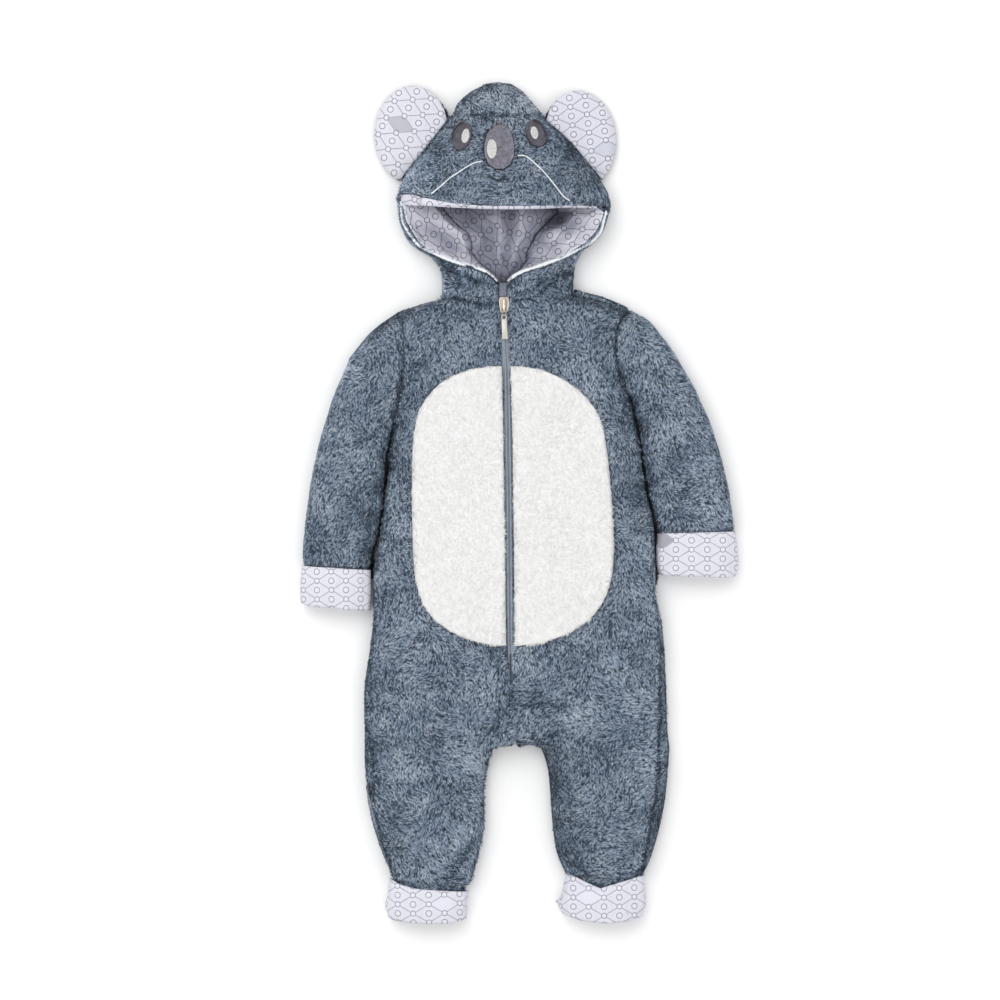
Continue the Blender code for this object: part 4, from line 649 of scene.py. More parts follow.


def pile(shell, material, spacing, blades, length, rise, width, flow, tone, seed, under=0.15,
         only_below=False, rolled=0.5):
    """Tufts of leaning blades, one triangle each, all over the open side of a shell.

    Spacing is the mm2 of a tuft, length, rise and width are a blade's in mm, under is the
    share of the pile that grows on the underside, and rolled how far blades turn over.
    """
    own = np.random.default_rng(seed)
    mesh = shell.mesh
    mesh.calc_loop_triangles()
    count = len(mesh.loop_triangles)
    tris = np.empty(count * 3, dtype=np.int64)
    mesh.loop_triangles.foreach_get("vertices", tris)
    tris = tris.reshape(-1, 3)
    normals = np.empty(len(mesh.vertices) * 3)
    mesh.vertices.foreach_get("normal", normals)
    normals = normals.reshape(-1, 3)
    p = shell.points
    a, b, c = p[tris[:, 0]], p[tris[:, 1]], p[tris[:, 2]]
    cross = np.cross(b - a, c - a)
    area = np.linalg.norm(cross, axis=1) / 2 / MM**2
    facing = cross[:, 2] / np.maximum(np.linalg.norm(cross, axis=1), 1e-12)
    open_face = np.where(np.abs(facing) > 0.5, shell.seen[tris].max(axis=1),
                         shell.open[tris].mean(axis=1))
    middle = (a + b + c) / 3
    weight = area * np.where((open_face > LEAST_OPEN) | on_brow(middle), 1.0, 0.0)
    weight = weight * np.clip(under + (facing + 0.75) * 1.1, under, 1.0)
    tufts = int(weight.sum() / spacing)
    if tufts < 3:
        return None
    pick = own.choice(count, size=tufts, p=weight / weight.sum())
    u, v = own.random(tufts), own.random(tufts)
    flip = u + v > 1
    u[flip], v[flip] = 1 - u[flip], 1 - v[flip]
    w = 1 - u - v
    t = tris[pick]
    shares = np.stack([w, u, v], axis=1)

    def blend(values):
        return sum(values[t[:, k]] * shares[:, k, None] for k in range(3))

    root = blend(p)
    normal = unit(blend(normals))
    sink, open_here, seen_here = (
        (values[t] * shares).sum(axis=1) for values in (shell.sink, shell.open, shell.seen))
    x, y = table_xy(root)
    kept = clear_of(x, y)
    heading = flow(x, y) + own.normal(0, TUFT_TURN, tufts)
    lean = np.stack([np.cos(heading), np.sin(heading), np.zeros(tufts)], axis=1)
    lean = unit(lean - normal * (lean * normal).sum(axis=1)[:, None])
    side = np.cross(normal, lean)
    # How far a tuft stands in a gap between parts, on an outer wall, or low in a gap.
    steep = np.clip(1 - np.abs(normal[:, 2]) * 1.7, 0, 1)
    brow = on_brow(root)
    steep[brow] = 0
    open_here = np.where(brow, np.maximum(open_here, 0.95), open_here)
    gap = steep * fade(seen_here, 0.72, -0.3)
    edge = steep * fade(seen_here, 0.6, 0.3)
    deep = gap * fade(root[:, 2] / MM, 11, -4)
    shade = tone(x, y, sink, open_here) + own.normal(0, TUFT_TONE, tufts)
    # Painted shade deep in the gaps, and painted light on the outer walls.
    shade = shade * (1 - 0.96 * deep) + 0.1 * edge
    curl = own.normal(0, TUFT_CURL, tufts)
    kept = kept | (normal[:, 2] < 0)
    if only_below:
        kept &= normal[:, 2] < -0.35
    root, normal, lean, side, shade, curl, gap, edge, deep = (
        np.repeat(values[kept], blades, axis=0)
        for values in (root, normal, lean, side, shade, curl, gap, edge, deep))
    n = len(root)
    curl = curl + own.normal(0, BLADE_CURL, n)
    shade = np.clip(shade + own.normal(0, BLADE_TONE, n), 0.02, 0.98)
    root = root + side * (own.uniform(-0.8, 0.8, n) * width * 0.7 * MM)[:, None]
    root = root + lean * (own.uniform(-1.2, 1.2, n) * MM)[:, None]
    wide = width * (1 + 0.9 * deep)
    reach = length * own.uniform(0.7, 1.2, n) * (1 - 0.25 * gap - 0.5 * edge) * MM
    height = rise * own.uniform(0.55, 1.15, n) * (1 + 1.1 * gap + 1.5 * deep - 0.75 * edge) * MM
    low = (normal[:, 2] < -0.6) & (root[:, 2] < 3 * MM)
    height[low] = np.minimum(height[low], np.maximum(root[low, 2] - 0.0001, 0.00005))
    roll = own.normal(0, rolled, n)
    flat = side * np.cos(roll)[:, None] + normal * np.sin(roll)[:, None]
    flat = flat * (wide / 2 * MM)[:, None] * own.uniform(0.75, 1.15, n)[:, None]
    tip = root + lean * reach[:, None] + normal * height[:, None]
    tip = tip + side * (curl * 0.7 * MM)[:, None]
    x, y = table_xy(root)
    # Painted shadow: blades low beside each gap turn near-black.
    for line in GAPS:
        shade[(near_line(x, y, line) < GAP_SIDE) & (root[:, 2] < GAP_HEIGHT * MM)] = GAP_PAINTED_SHADE
    root = root - normal * (ROOT_DEPTH * MM)
    vertices = np.stack([root - flat, root + flat, tip], axis=1)
    vertices[..., 2] = np.maximum(vertices[..., 2], 0.0001)
    out = bpy.data.meshes.new(shell.name + "_pile")
    out.vertices.add(n * 3)
    out.vertices.foreach_set("co", vertices.astype(np.float32).ravel())
    out.loops.add(n * 3)
    out.loops.foreach_set("vertex_index", np.arange(n * 3, dtype=np.int32))
    out.polygons.add(n)
    out.polygons.foreach_set("loop_start", np.arange(0, n * 3, 3, dtype=np.int32))
    out.update(calc_edges=True)
    layer = out.uv_layers.new(name="OFBake")
    uvs = np.empty((n, 3, 2), dtype=np.float32)
    uvs[:, :, 0] = np.clip(shade[:, None] + np.array([-0.004, 0.004, 0.0]), 0, 1)
    uvs[:, :, 1] = np.array([0.03, 0.03, 0.97])
    layer.data.foreach_set("uv", uvs.ravel())
    obj = new_object(shell.name + "_pile", out)
    finish_piece(obj, material)
    return obj


def pile_material(name, stops, root_shade, middle_shade, tip_shade, **inputs):
    """Pile whose tone, painted shade included, runs along u, and whose blades run from root to tip
    along v, painted darker at the root as shade deep in the pile.
    """
    g = Graph(name, stops[len(stops) // 2][1], **inputs)
    parts = g.add("SeparateXYZ", {0: g.uv("OFBake")})
    tone = g.ramp(parts.outputs[0], *stops)
    along = g.ramp(parts.outputs[1], (0.0, root_shade), (0.55, middle_shade), (1.0, tip_shade))
    g.color(g.mix(1.0, tone, along, "MULTIPLY"))
    return g.mat


# ---------------- materials

FLEECE_PILE = pile_material(
    "fleece_pile", ((0.0, "0E1116"), (0.22, "4C5B6E"), (0.55, "A3B8CF"), (1.0, "F2F8FD")),
    "50545E", "DADCE0", "FFFFFF", roughness=0.9)
BELLY_PILE = pile_material(
    "belly_pile", ((0.0, "DEDEDE"), (0.4, "E1E1E0"), (1.0, "E6E6E5")),
    "F2F2F2", "F9F9F9", "FFFFFF", roughness=0.95)


def grained(name, color, roughness, grain, dark, light, bump, fine=None):
    """Plain cloth: a grain of dark and light, and its bumps, from it or from a finer one."""
    g = Graph(name, color, roughness)
    where = g.place()
    tone = g.noise(where, *grain)
    g.color(g.ramp(tone, (0.3, dark), (0.7, light)))
    g.bump(g.noise(where, *fine) if fine else tone, *bump)
    return g.mat


# The cloth under the pile is dark: painted shade deep between the tufts.
FLEECE_BASE = grained("fleece_base", "414E5C", 0.95, (420, 3, 0.6), "1C232C", "445364",
                      (0.6, 0.0008), (700, 2))
BELLY_BASE = grained("belly_base", "E6E6E6", 0.95, (300, 3, 0.6), "DADADA", "E4E4E3",
                     (0.5, 0.0006))
TAPE = grained("zip_tape", "8A929B", 0.8, (1400, 2), "6E7680", "9AA2AB", (0.4, 0.0002))

HALF_LONG, HALF_SHORT = 13.8, 8.1  # the printed lattice's half diagonals, mm
LINE_WIDTH, NODE_RING, CELL_RING = 0.42, 2.3, 2.55  # mm: its lines, and its rings' radii


def print_material(name, ground="D3D3DD", ink="82848F", blanks=(), filled="D9D9E4",
                   shaded=False):
    """Cotton with a printed lattice, drawn on a map in mm.

    It has rings at the lattice's nodes and in its cells, apart from the blanks, which are
    filled with a plain tone.
    """
    g = Graph(name, ground, 0.85)
    plus, minus, times, over, most, size, whole = (
        partial(g.math, operation) for operation in (
            "ADD", "SUBTRACT", "MULTIPLY", "DIVIDE", "MAXIMUM", "ABSOLUTE", "ROUND"))
    x, y = g.add("SeparateXYZ", {0: g.uv("print")}).outputs[:2]
    along, across = over(x, HALF_LONG), over(y, HALF_SHORT)
    i, j = whole(along), whole(across)
    near_x, near_y = minus(x, times(i, HALF_LONG)), minus(y, times(j, HALF_SHORT))
    distance = g.math("SQRT", plus(times(near_x, near_x), times(near_y, near_y)))
    odd = g.step(size(g.math("MODULO", plus(i, j), 2.0)), 0.4, 0.6)
    radius = plus(NODE_RING, times(odd, CELL_RING - NODE_RING))
    blank, cell = 0.0, 0.0
    for a, b in blanks:
        reach = plus(size(minus(along, float(a))), size(minus(across, float(b))))
        cell = plus(cell, g.step(reach, 0.88, 0.97, 1.0, 0.0))
        blank = plus(blank, times(g.math("COMPARE", i, a, 0.4), g.math("COMPARE", j, b, 0.4)))
    ring = g.step(size(minus(distance, radius)), LINE_WIDTH * 0.5, LINE_WIDTH * 1.35, 1.0, 0.0)
    ring = times(ring, minus(1.0, blank))
    scale = 1 / math.hypot(1 / HALF_LONG, 1 / HALF_SHORT)
    gaps = [times(size(minus(value, times(whole(over(value, 2.0)), 2.0))), scale)
            for value in (plus(along, across), minus(along, across))]
    line = g.step(g.math("MINIMUM", *gaps), LINE_WIDTH * 0.45, LINE_WIDTH * 1.3, 0.85, 0.0)
    line = times(line, most(g.step(distance, NODE_RING - 0.2, NODE_RING), odd))
    where = g.place()
    worn = g.step(g.noise(where, 240, 3, 0.6), 0.2, 0.7, 0.75, 1.0)
    marks = times(most(ring, line), worn)
    tint = g.ramp(g.noise(where, 900, 2, 0.7), (0.35, "C9C9D5"), (0.65, "DCDCE4"))
    tint = g.mix(g.step(distance, 0.0, 6.5, 0.5, 0.0), g.mix(0.55, ground, tint), "E0E0E7")
    color = g.mix(marks, g.mix(times(cell, 0.8), tint, filled), ink)
    # Painted shade: the print darkened where the depth map is low.
    if shaded:
        depth = g.add("SeparateXYZ", {0: g.uv("depth")}).outputs[0]
        shade = g.ramp(depth, (0.0, "50525C"), (0.45, "A3A5AF"), (1.0, "FFFFFF"))
        color = g.mix(1.0, color, shade, "MULTIPLY")
    g.color(color)
    wave = {"Vector": g.uv("print"), "Scale": 0.95, "Distortion": 0.4}
    weave = plus(*(g.add("TexWave", wave, bands_direction=way).outputs[1] for way in "XY"))
    g.bump(plus(weave, g.noise(where, 260, 2)), 0.28, 0.0002)
    return g.mat


CUFF_PRINT = {
    "sleeve_cuff_left": print_material("print_wrist_left"),
    # Its blank cell is a grey cell of the print, filled much darker with painted shadow from the
    # body beside it.
    "sleeve_cuff_right": print_material("print_wrist_right", blanks=((-2, 1),), filled="8F8F9A"),
    "leg_cuff_left": print_material("print_ankle_left", blanks=((1, 0),)),
    "leg_cuff_right": print_material("print_ankle_right", blanks=((-1, 0),)),
}
EAR_PRINT = {
    "ear_front_left": print_material("print_ear_left", "CDCDD7", "787A85", ((0, -1),), "A9AAB4"),
    "ear_front_right": print_material("print_ear_right", "C8C8D6", "747682", ((1, -4),), "C2C3D0"),
}
LINING_PRINT = print_material("printed_lining", "D8D8E2", "6C6E7B", shaded=True)


def stitch_material(name, dark, light, angle=0, scale=120, roughness=0.6):
    """Embroidery thread: a soft grain along its threads."""
    g = Graph(name, light, roughness)
    turn = g.add("Mapping", {"Vector": g.place(), "Rotation": (0, 0, math.radians(angle))})
    fine = g.noise(turn.outputs[0], scale * 9, 3, 0.65)
    wide = g.noise(g.place(), scale * 2.0, 2, 0.5)
    value = g.math("ADD", g.math("MULTIPLY", fine, 0.7), g.math("MULTIPLY", wide, 0.35))
    g.color(g.ramp(value, (0.25, dark), (0.8, light)))
    g.bump(value, 0.5, 0.0004)
    return g.mat


EYE = stitch_material("eye_cloth", "0C0A10", "7A7884", 20)
NOSE = stitch_material("nose_cloth", "17151C", "A9A8B6", 70)
RIM_THREAD = stitch_material("rim_thread", "16131A", "36323B", 35)
GLINT = stitch_material("glint_thread", "A2A0A2", "F0EFED", 35)
WHITE_THREAD = stitch_material("white_thread", "DDE3E8", "FDFEFF", 10)
DARK_THREAD = stitch_material("dark_thread", "161C24", "333D49", 10)
COIL = stitch_material("zip_coil", "4F5661", "868E99", 0, roughness=0.45)
BAND = stitch_material("zip_band", "737B88", "A0A8B5", 0, scale=60, roughness=0.75)
GUARD = stitch_material("zip_guard", "545966", "7C818E", 0, scale=60, roughness=0.8)


def metal_material(name, color, roughness):
    """Worn metal."""
    g = Graph(name, color, roughness, Metallic=0.9)
    scratches = g.noise(g.place(), 900, 3, 0.7)
    g.feed(g.shader.inputs["Roughness"],
           g.step(scratches, 0.3, 0.7, roughness - 0.06, roughness + 0.08))
    g.bump(scratches, 0.15, 0.0001)
    return g.mat


METAL = metal_material("zip_metal", "E2DDD6", 0.28)
# A darker copy of the zip's metal for the slider's sunk plate and seat and the pull's pin and arms:
# painted shade.
SHADED_METAL = metal_material("zip_metal_painted_shade", "A1917F", 0.4)
PULL_METAL = metal_material("pull_metal", "BFBCB5", 0.5)


# ---------------- cloth

FLEECE = ("front_left", "front_right", "back_left", "back_right", "sleeve_left", "sleeve_right",
          "hood_face", "hood_centre", "hood_side_left", "hood_side_right",
          "ear_back_left", "ear_back_right")
BELLY = ("belly_left", "belly_right")
# Printed cuffs: lattice's turn in degrees, a node's place (table mm), and the tube's
# middle, half width and its scale along x.
CUFFS = {
    "sleeve_cuff_left": (0.5, -168.2, -67.9, -152.0, 35.0, 0.93),
    "sleeve_cuff_right": (0.0, 160.5, -40.4, 167.5, 36.5, 1.0),
    "leg_cuff_left": (1.0, -70.0, -351.4, -71.5, 37.0, 1.0),
    "leg_cuff_right": (0.5, 83.7, -345.5, 83.0, 39.0, 0.98),
}
# Flat prints: zones up to an x, each with the lattice's turn and a node's place.
ZONES = {
    "hood_lining_left": ((999, -65, -84.7, 258.0),),
    "hood_lining_centre": ((-6.6, -62, -37.7, 245.3), (999, -98, -5.1, 253.7)),
    "hood_lining_right": ((999, 26, 40.0, 228.7),),
    "hood_facing": ((-60, -20, -82.0, 266.0), (999, 0, -39.0, 257.5)),
    "ear_front_left": ((999, -26.4, -91.6, 340.9),),
    "ear_front_right": ((999, 6.7, 69.1, 342.5),),
}


def corners_of(mesh):
    """The vertex at each corner of each face."""
    corner = np.empty(len(mesh.loops), dtype=np.int64)
    mesh.loops.foreach_get("vertex_index", corner)
    return corner


def put_map(obj, name, u, v, per_corner=False):
    """A layer of u, v given for each vertex or for each corner."""
    corner = slice(None) if per_corner else corners_of(obj.data)
    pair = np.stack([u[corner], v[corner]], axis=1)
    layer = obj.data.uv_layers.new(name=name)
    layer.data.foreach_set("uv", pair.astype(np.float32).ravel())


def zone_map(obj, points, zones):
    """The print laid flat over x, y, with its own turn in each zone."""
    x, y = table_xy(points)
    corner = corners_of(obj.data)
    faces = [list(f.vertices) for f in obj.data.polygons]
    middle = np.repeat([x[f].mean() for f in faces], [len(f) for f in faces])
    u, v = np.zeros(len(corner)), np.zeros(len(corner))
    start = -999.0
    for end, turn, x0, y0 in zones:
        here = (middle >= start) & (middle < end)
        a, b = turned(x[corner], y[corner], turn, x0, y0)
        u[here], v[here] = a[here], b[here]
        start = end
    put_map(obj, "print", u, v, per_corner=True)


TUBE_POWER = 2.5  # of the laid tube's section, a circle's being 2
SEAM_HEIGHT = 0.45  # its widest place, as a share of its height


def tube_map(obj, points, turn, x0, y0, middle, half, scale):
    """The print wrapped round a laid tube: lengths along its section, not its plan."""
    x, y = table_xy(points)
    z = points[:, 2] / MM
    top = z.max()
    seam = SEAM_HEIGHT * top
    at = np.linspace(0, 1, 400)
    rise = (top - seam) * (1 - at**TUBE_POWER) ** (1 / TUBE_POWER)
    run = run_of(np.stack([at * half, rise], axis=1))

    def arc(across):
        return np.sign(across) * np.interp(np.abs(across) / half, at, run)

    u = arc(x - middle)
    below = z < seam
    u[below] = np.sign(u[below]) * (2 * run[-1] - np.abs(u[below]))
    a, b = turned(u + middle, y, turn, middle + arc(x0 - middle), y0)
    put_map(obj, "print", a / scale, b)


turning = waves(11, 30)
turning_fine = waves(12, 11)
patches = waves(13, 22)
patches_fine = waves(14, 9)


def flow_of(name):
    """Which way the pile lies, in radians, over x, y in table mm."""

    def flow(x, y):
        swirl = 0.75 * turning(x, y) + 0.35 * turning_fine(x, y)
        if name.startswith("sleeve_left"):
            return math.radians(-118) + swirl
        if name.startswith("sleeve_right"):
            return math.radians(-62) + swirl
        if name.startswith(("hood", "ear")):
            return np.arctan2(y - 330, x - 2) * 0.35 - math.pi / 2 + 1.2 * swirl
        legs = fade(y, -150, -60)
        inward = np.where(x < 0, math.radians(-20), math.radians(200))
        return (1 - legs) * (-math.pi / 2) + legs * (0.5 * inward - 0.25 * math.pi) + swirl

    return flow


# Painted shade along seams, sharp creases and the sleeves' sides of the gaps, table mm: the line,
# how dark (below 0 it is painted lighter), half width.
PAINTED_SHADE_LINES = (
    (((-50, 181), (-27, 176.4), (-15.4, 174.7)), 0.42, 1.6),
    (((4, 177.8), (19, 180.8), (31, 187), (42, 195)), 0.38, 1.6),
    (((-52, 204), (-34, 199.3), (-22, 193)), 0.34, 1.7),
    (((-57.6, 211), (-38, 203.6), (-14, 193)), 0.16, 1.6),
    (((57, 204), (30, 194), (10, 185)), 0.32, 1.7),
    (((-98, 141), (-93, 124), (-94.6, 104), (-101, 80), (-102, 69)), 0.26, 1.6),
    (((105, 170), (95.5, 153), (93.7, 132), (102.5, 112)), 0.26, 1.5),
    (((134.2, -122), (130.7, -238), (126.3, -271.5), (116.6, -326)), 0.34, 1.6),
    (((-122.8, -140), (-119.2, -256), (-109.6, -306), (-99.4, -325)), 0.26, 1.6),
    (((-8.4, -139.5), (-8.4, -198.4)), 0.24, 1.7),
    (((1.3, -132), (2.2, -170)), 0.3, 1.5),
    (((12.8, -178), (49.7, -174.7)), 0.22, 1.9),
    (((31, -206.4), (47, -201)), 0.24, 1.7),
    (((-30.4, -292.6), (-52.4, -328.7)), 0.34, 2.4),
    (((54, -317), (66.4, -324.3)), 0.34, 2.2),
    (((112, -326), (117, -320)), 0.3, 2.0),
    (((-120, 62), (-132, 54)), 0.2, 2.0),
    (((134, -24), (200, -26.5)), -0.22, 1.8),
    (((-108, 62), (-112, 41), (-114, 17), (-117, 2), (-122, -20), (-127, -44)), 0.14, 4.5),
    (((112, 92), (115, 80), (119, 61), (124.5, 31), (131, -3), (134, -27)), 0.22, 4.5),
)
SEAM_Y, SEAM_X = (-326, -271.5, -238, -122), (116.6, 126.3, 130.7, 134.2)  # of the right leg


def tone(x, y, sink, opened):
    """How light the fleece's pile is, 0 to 1: random patches, painted shade in folds, less open
    places, seams and creases, painted light on ridges, and a painted highlight towards the crown.
    """
    shade = (0.545 + 0.24 * fade(y, 334, 22) + 0.06 * patches(x, y) + 0.04 * patches_fine(x, y)
             - 0.07 * np.clip(sink, -2, 3) - 0.2 * np.clip(0.72 - opened, 0, 0.72))
    for line, dark, width in PAINTED_SHADE_LINES:
        shade = shade - dark * np.exp(-((near_line(x, y, line) / width) ** 2))
    # Painted shade on the back's strip that shows beyond the right leg's side seam.
    behind = fade(x - np.interp(y, SEAM_Y, SEAM_X), 0, 1.5) * fade(y, -118, -8) * fade(y, -330, 8)
    return shade - 0.12 * behind


def belly_tone(x, y, sink, opened):
    """How light the belly's pile is, 0 to 1: random patches, painted shade in folds and painted
    light on ridges.
    """
    return 0.6 + 0.02 * patches(x, y) - 0.06 * np.clip(sink, -2, 3)


# How far the crown's outline moves up, over x: table mm.
CROWN_X = (-52, -46, -40, -34, -21.5, -10, 2, 12, 24.7, 34)
CROWN_RISE = (-4, -3.2, -1.2, 0.4, -0.6, 1.0, -0.6, 0.4, -3.6, -1)


# Each shift gives the mm that points at x, y, z (table mm) move along x, y and z.


def pressed(x, y, z):
    """Moves the low parts beside a gap onto its middle, where the cloths touch."""
    move = np.zeros((len(x), 2))
    for line in GAPS:
        step, far = to_line(x, y, line)
        share = fade(far, 10.0, -2.5) * fade(z, 13.5, -3)
        for end_x, end_y in (line[0], line[-1]):
            share[np.hypot(x - end_x, y - end_y) < far + 0.01] = 0
        move += step * share[:, None]
    return move[:, 0], move[:, 1], 0 * z


def crown_shift(x, y, z):
    """Brings the crown's lower edge onto the face panel and shapes its outline."""
    near = np.where(z > 20, 1.0, 0.0) * fade(y, 354, -10)
    up = np.interp(x, CROWN_X, CROWN_RISE) * fade(y, 345, 10)
    return 0 * x, up - 2.4 * near, 0.3 * near


def face_shift(x, y, z):
    """Draws the face panel's upper edge up under the crown."""
    return 0 * x, 1.2 * fade(y, 334, 8), -0.5 * fade(y, 330, 11) ** 2


def crotch_shift(x, y, z):
    """Evens out the edge between the legs and fills the notch behind the neck."""
    bump = 6.0 * np.exp(-(((x - 6) / 8) ** 2)) + 1.6 * np.exp(-(((x - 6) / 2.5) ** 2))
    neck = np.exp(-(((x - 62) / 5) ** 2) - ((y - 185) / 5) ** 2)
    along, up, rise = pressed(x, y, z)
    return along - 4.0 * neck, up - bump * fade(y, -190, -14) + 2.6 * neck, rise


# How far the leg cuffs' upper and lower edges move, over x: table mm.
RIGHT_HEM = ((40, 0), (51.5, 5.5), (66, -1.5), (80.5, -7.5), (98, -2.0), (117, 4.0), (125, 4))
LEFT_HEM = ((-112, 5), (-104, 1.5), (-94, -2.5), (-80, -5.0), (-36, -5.0), (-30, -4))
RIGHT_FOOT = ((40, 7), (48, 4.5), (66, -1.5), (84, -3.5), (104, -1.0), (120, 4.0))
LEFT_FOOT = ((-110, 5), (-100, 0.5), (-86, -1.5), (-70, -2.0), (-50, -1.5), (-38, 2.0))


def hem_shift(upper, lower, spread_left, spread_right):
    """Moves a leg cuff's edges along the leg, (x, mm) pairs, and its lower corners outwards."""
    (upper_x, upper_y), (lower_x, lower_y) = zip(*upper), zip(*lower)
    middle = (lower_x[0] + lower_x[-1]) / 2

    def shift(x, y, z):
        high, low = fade(y, -350, 18), fade(y, -345, -16)
        t = (x - middle) / (lower_x[-1] - middle)
        out = (np.clip(t, 0, 1) * spread_right - np.clip(-t, 0, 1) * spread_left) * low
        out = out + 0.3 * np.sin(y / 3.1) * np.abs(np.clip(t, -1, 1)) ** 3
        up = np.interp(x, upper_x, upper_y) * high + np.interp(x, lower_x, lower_y) * low
        return out, up, 0 * z

    return shift


def round_corner(x, y, z):
    """Rounds the lower corners of the sleeve cuffs."""
    out, up = 0 * x, 0.5 * np.sin(x / 4.3) * fade(y, -50, -40)
    for cx, cy, reach, inwards in ((-184, -96, 11, 1), (-122, -100, 7, -1), (133, -66, 8, 1),
                                   (203, -68, 7, -1)):
        near = 3.2 * fade(np.hypot(x - cx, y - cy), reach, -reach) ** 1.5
        out = out + inwards * near
        up = up + near
    return out - 3.0 * fade(x, 150, -17) * (x > 0), up, 0 * z


SHIFTS = {"hood_centre": crown_shift, "hood_face": face_shift,
          "leg_cuff_right": hem_shift(RIGHT_HEM, RIGHT_FOOT, 4.0, 2.5),
          "leg_cuff_left": hem_shift(LEFT_HEM, LEFT_FOOT, 3.5, 0.0),
          "sleeve_cuff_left": round_corner, "sleeve_cuff_right": round_corner,
          "sleeve_left": pressed, "sleeve_right": pressed,
          **dict.fromkeys(("front_left", "front_right", "back_left", "back_right"),
                          crotch_shift)}

cloth = {}  # each cloth's object and the pieces that lie on it


def dress(name, material, longest, **form):
    """The cloth of a node in the node's place."""
    shell = Shell(name, longest, **form)
    finish_piece(shell.object, material, name)
    cloth[name] = (shell.object, [])
    return shell


for order, name in enumerate(FLEECE):
    hidden = name.startswith(("back", "ear_back"))
    ear = name.startswith("ear_back")
    shell = dress(name, FLEECE_BASE, 7.5 if hidden else 5.6, soften=2, inset=1.0, swell=0.5,
                  gap_pile=True, shift=SHIFTS.get(name), rounds=10)
    cloth[name][1].append(
        pile(shell, FLEECE_PILE, spacing=1.5, blades=3, length=1.8 if ear else 2.7,
             rise=0.8 if ear else 1.3, width=0.9, flow=flow_of(name), tone=tone,
             seed=100 + order, only_below=ear))
for order, name in enumerate(BELLY):
    shell = dress(name, BELLY_BASE, 5.6, soften=2, inset=0.7, swell=0.35, rounds=10)
    cloth[name][1].append(
        pile(shell, BELLY_PILE, spacing=1.9, blades=3, length=2.3, rise=0.45, width=0.95,
             flow=flow_of(name), tone=belly_tone, seed=200 + order, under=0.1, rolled=0.22))
for name, (turn, x0, y0, middle, half, scale) in CUFFS.items():
    shell = dress(name, CUFF_PRINT[name], 3.6, soften=5, swell=0.45, shift=SHIFTS.get(name))
    tube_map(shell.object, shell.points, turn, x0, y0, middle, half, scale)
# Shaded hollows of the lining, table mm: x, y, half x, half y, how dark.
VALLEYS = ((-66.0, 238.0, 17.0, 11.0, 0.48), (-50.0, 226.0, 12.0, 8.0, 0.32),
           (50.0, 246.0, 16.0, 11.0, 0.5), (34.0, 228.0, 10.0, 10.0, 0.3))
for name, zones in ZONES.items():
    ear = name.startswith("ear")
    shell = dress(name, EAR_PRINT[name] if ear else LINING_PRINT, 4.0 if ear else 2.8,
                  soften=2 if ear else 1, swell=0.12 if ear else 0.25)
    zone_map(shell.object, shell.points, zones)
    if not ear:
        # The depth map is painted shade: darker where the lining is less open, lower down, and in
        # its hollows.
        depth = 0.55 * fade(shell.open, 0.15, 0.6)
        depth += 0.45 * fade(shell.points[:, 2] / MM, 8.8, 9)
        x, y = table_xy(shell.points)
        for vx, vy, reach_x, reach_y, dark in VALLEYS:
            depth -= dark * np.exp(-(((x - vx + 0.6 * (y - vy)) / reach_x) ** 2)
                                   - ((y - vy) / reach_y) ** 2)
        depth = np.clip(depth, 0.02, 1)
        put_map(shell.object, "depth", depth, depth)
for name, material in (("eye_left", EYE), ("eye_right", EYE), ("nose", NOSE),
                       ("eye_glint_left", GLINT), ("eye_glint_right", GLINT),
                       ("nose_glint", GLINT), ("zip_tape", TAPE)):
    dress(name, material, 2.5, soften=1)

# ---------------- embroidery

# Embroidered ellipses, table mm: x, y, half x, half y, tilt, narrowing at the top.
PATCHES = {
    "eye_left": (-41.0, 321.8, 8.6, 13.0, -14.0, 0.0),
    "eye_right": (24.2, 324.2, 8.6, 12.6, 18.0, 0.0),
    "nose": (-8.0, 312.6, 15.6, 21.4, 0.0, 0.34),
    "eye_glint_left": (-37.6, 321.4, 3.4, 6.6, -10.0, 0.0),
    "eye_glint_right": (22.6, 324.2, 3.2, 5.8, 12.0, 0.0),
    "nose_glint": (-14.6, 309.4, 4.4, 8.8, 0.0, 0.0),
}


def patch_xy(name, u, v):
    """Point of a patch: u across and v up, each -1 to 1 at its outline."""
    cx, cy, half_x, half_y, tilt, narrow = PATCHES[name]
    c, s = math.cos(math.radians(tilt)), math.sin(math.radians(tilt))
    dx = half_x * u * (1 - narrow * (0.5 + 0.5 * v))
    dy = half_y * v
    return cx + dx * c - dy * s, cy + dx * s + dy * c


def rim_stitches(name, material, reach, pitch, seed):
    """Short threads across a patch's edge, all round."""
    own = np.random.default_rng(seed)
    half_x, half_y = PATCHES[name][2:4]
    count = int(math.pi * (half_x + half_y) / pitch)
    starts, ends = [], []
    for k in range(count):
        turn = math.tau * (k + own.uniform(-0.2, 0.2)) / count
        size = own.uniform(0.9, 1.15) * reach / min(half_x, half_y)
        twist = own.normal(0.05, 0.04)
        for points, far, angle in ((starts, 1.02, turn), (ends, 1.02 - size, turn + twist)):
            points.append(patch_xy(name, far * math.cos(angle), far * math.sin(angle)))
    starts = laid(starts, [name, "hood_face"], 0.0, 0)
    ends = laid(ends, [name], 0.05, 0)
    return threads(name + "_rim", starts, ends, 0.6, 0.42, material)


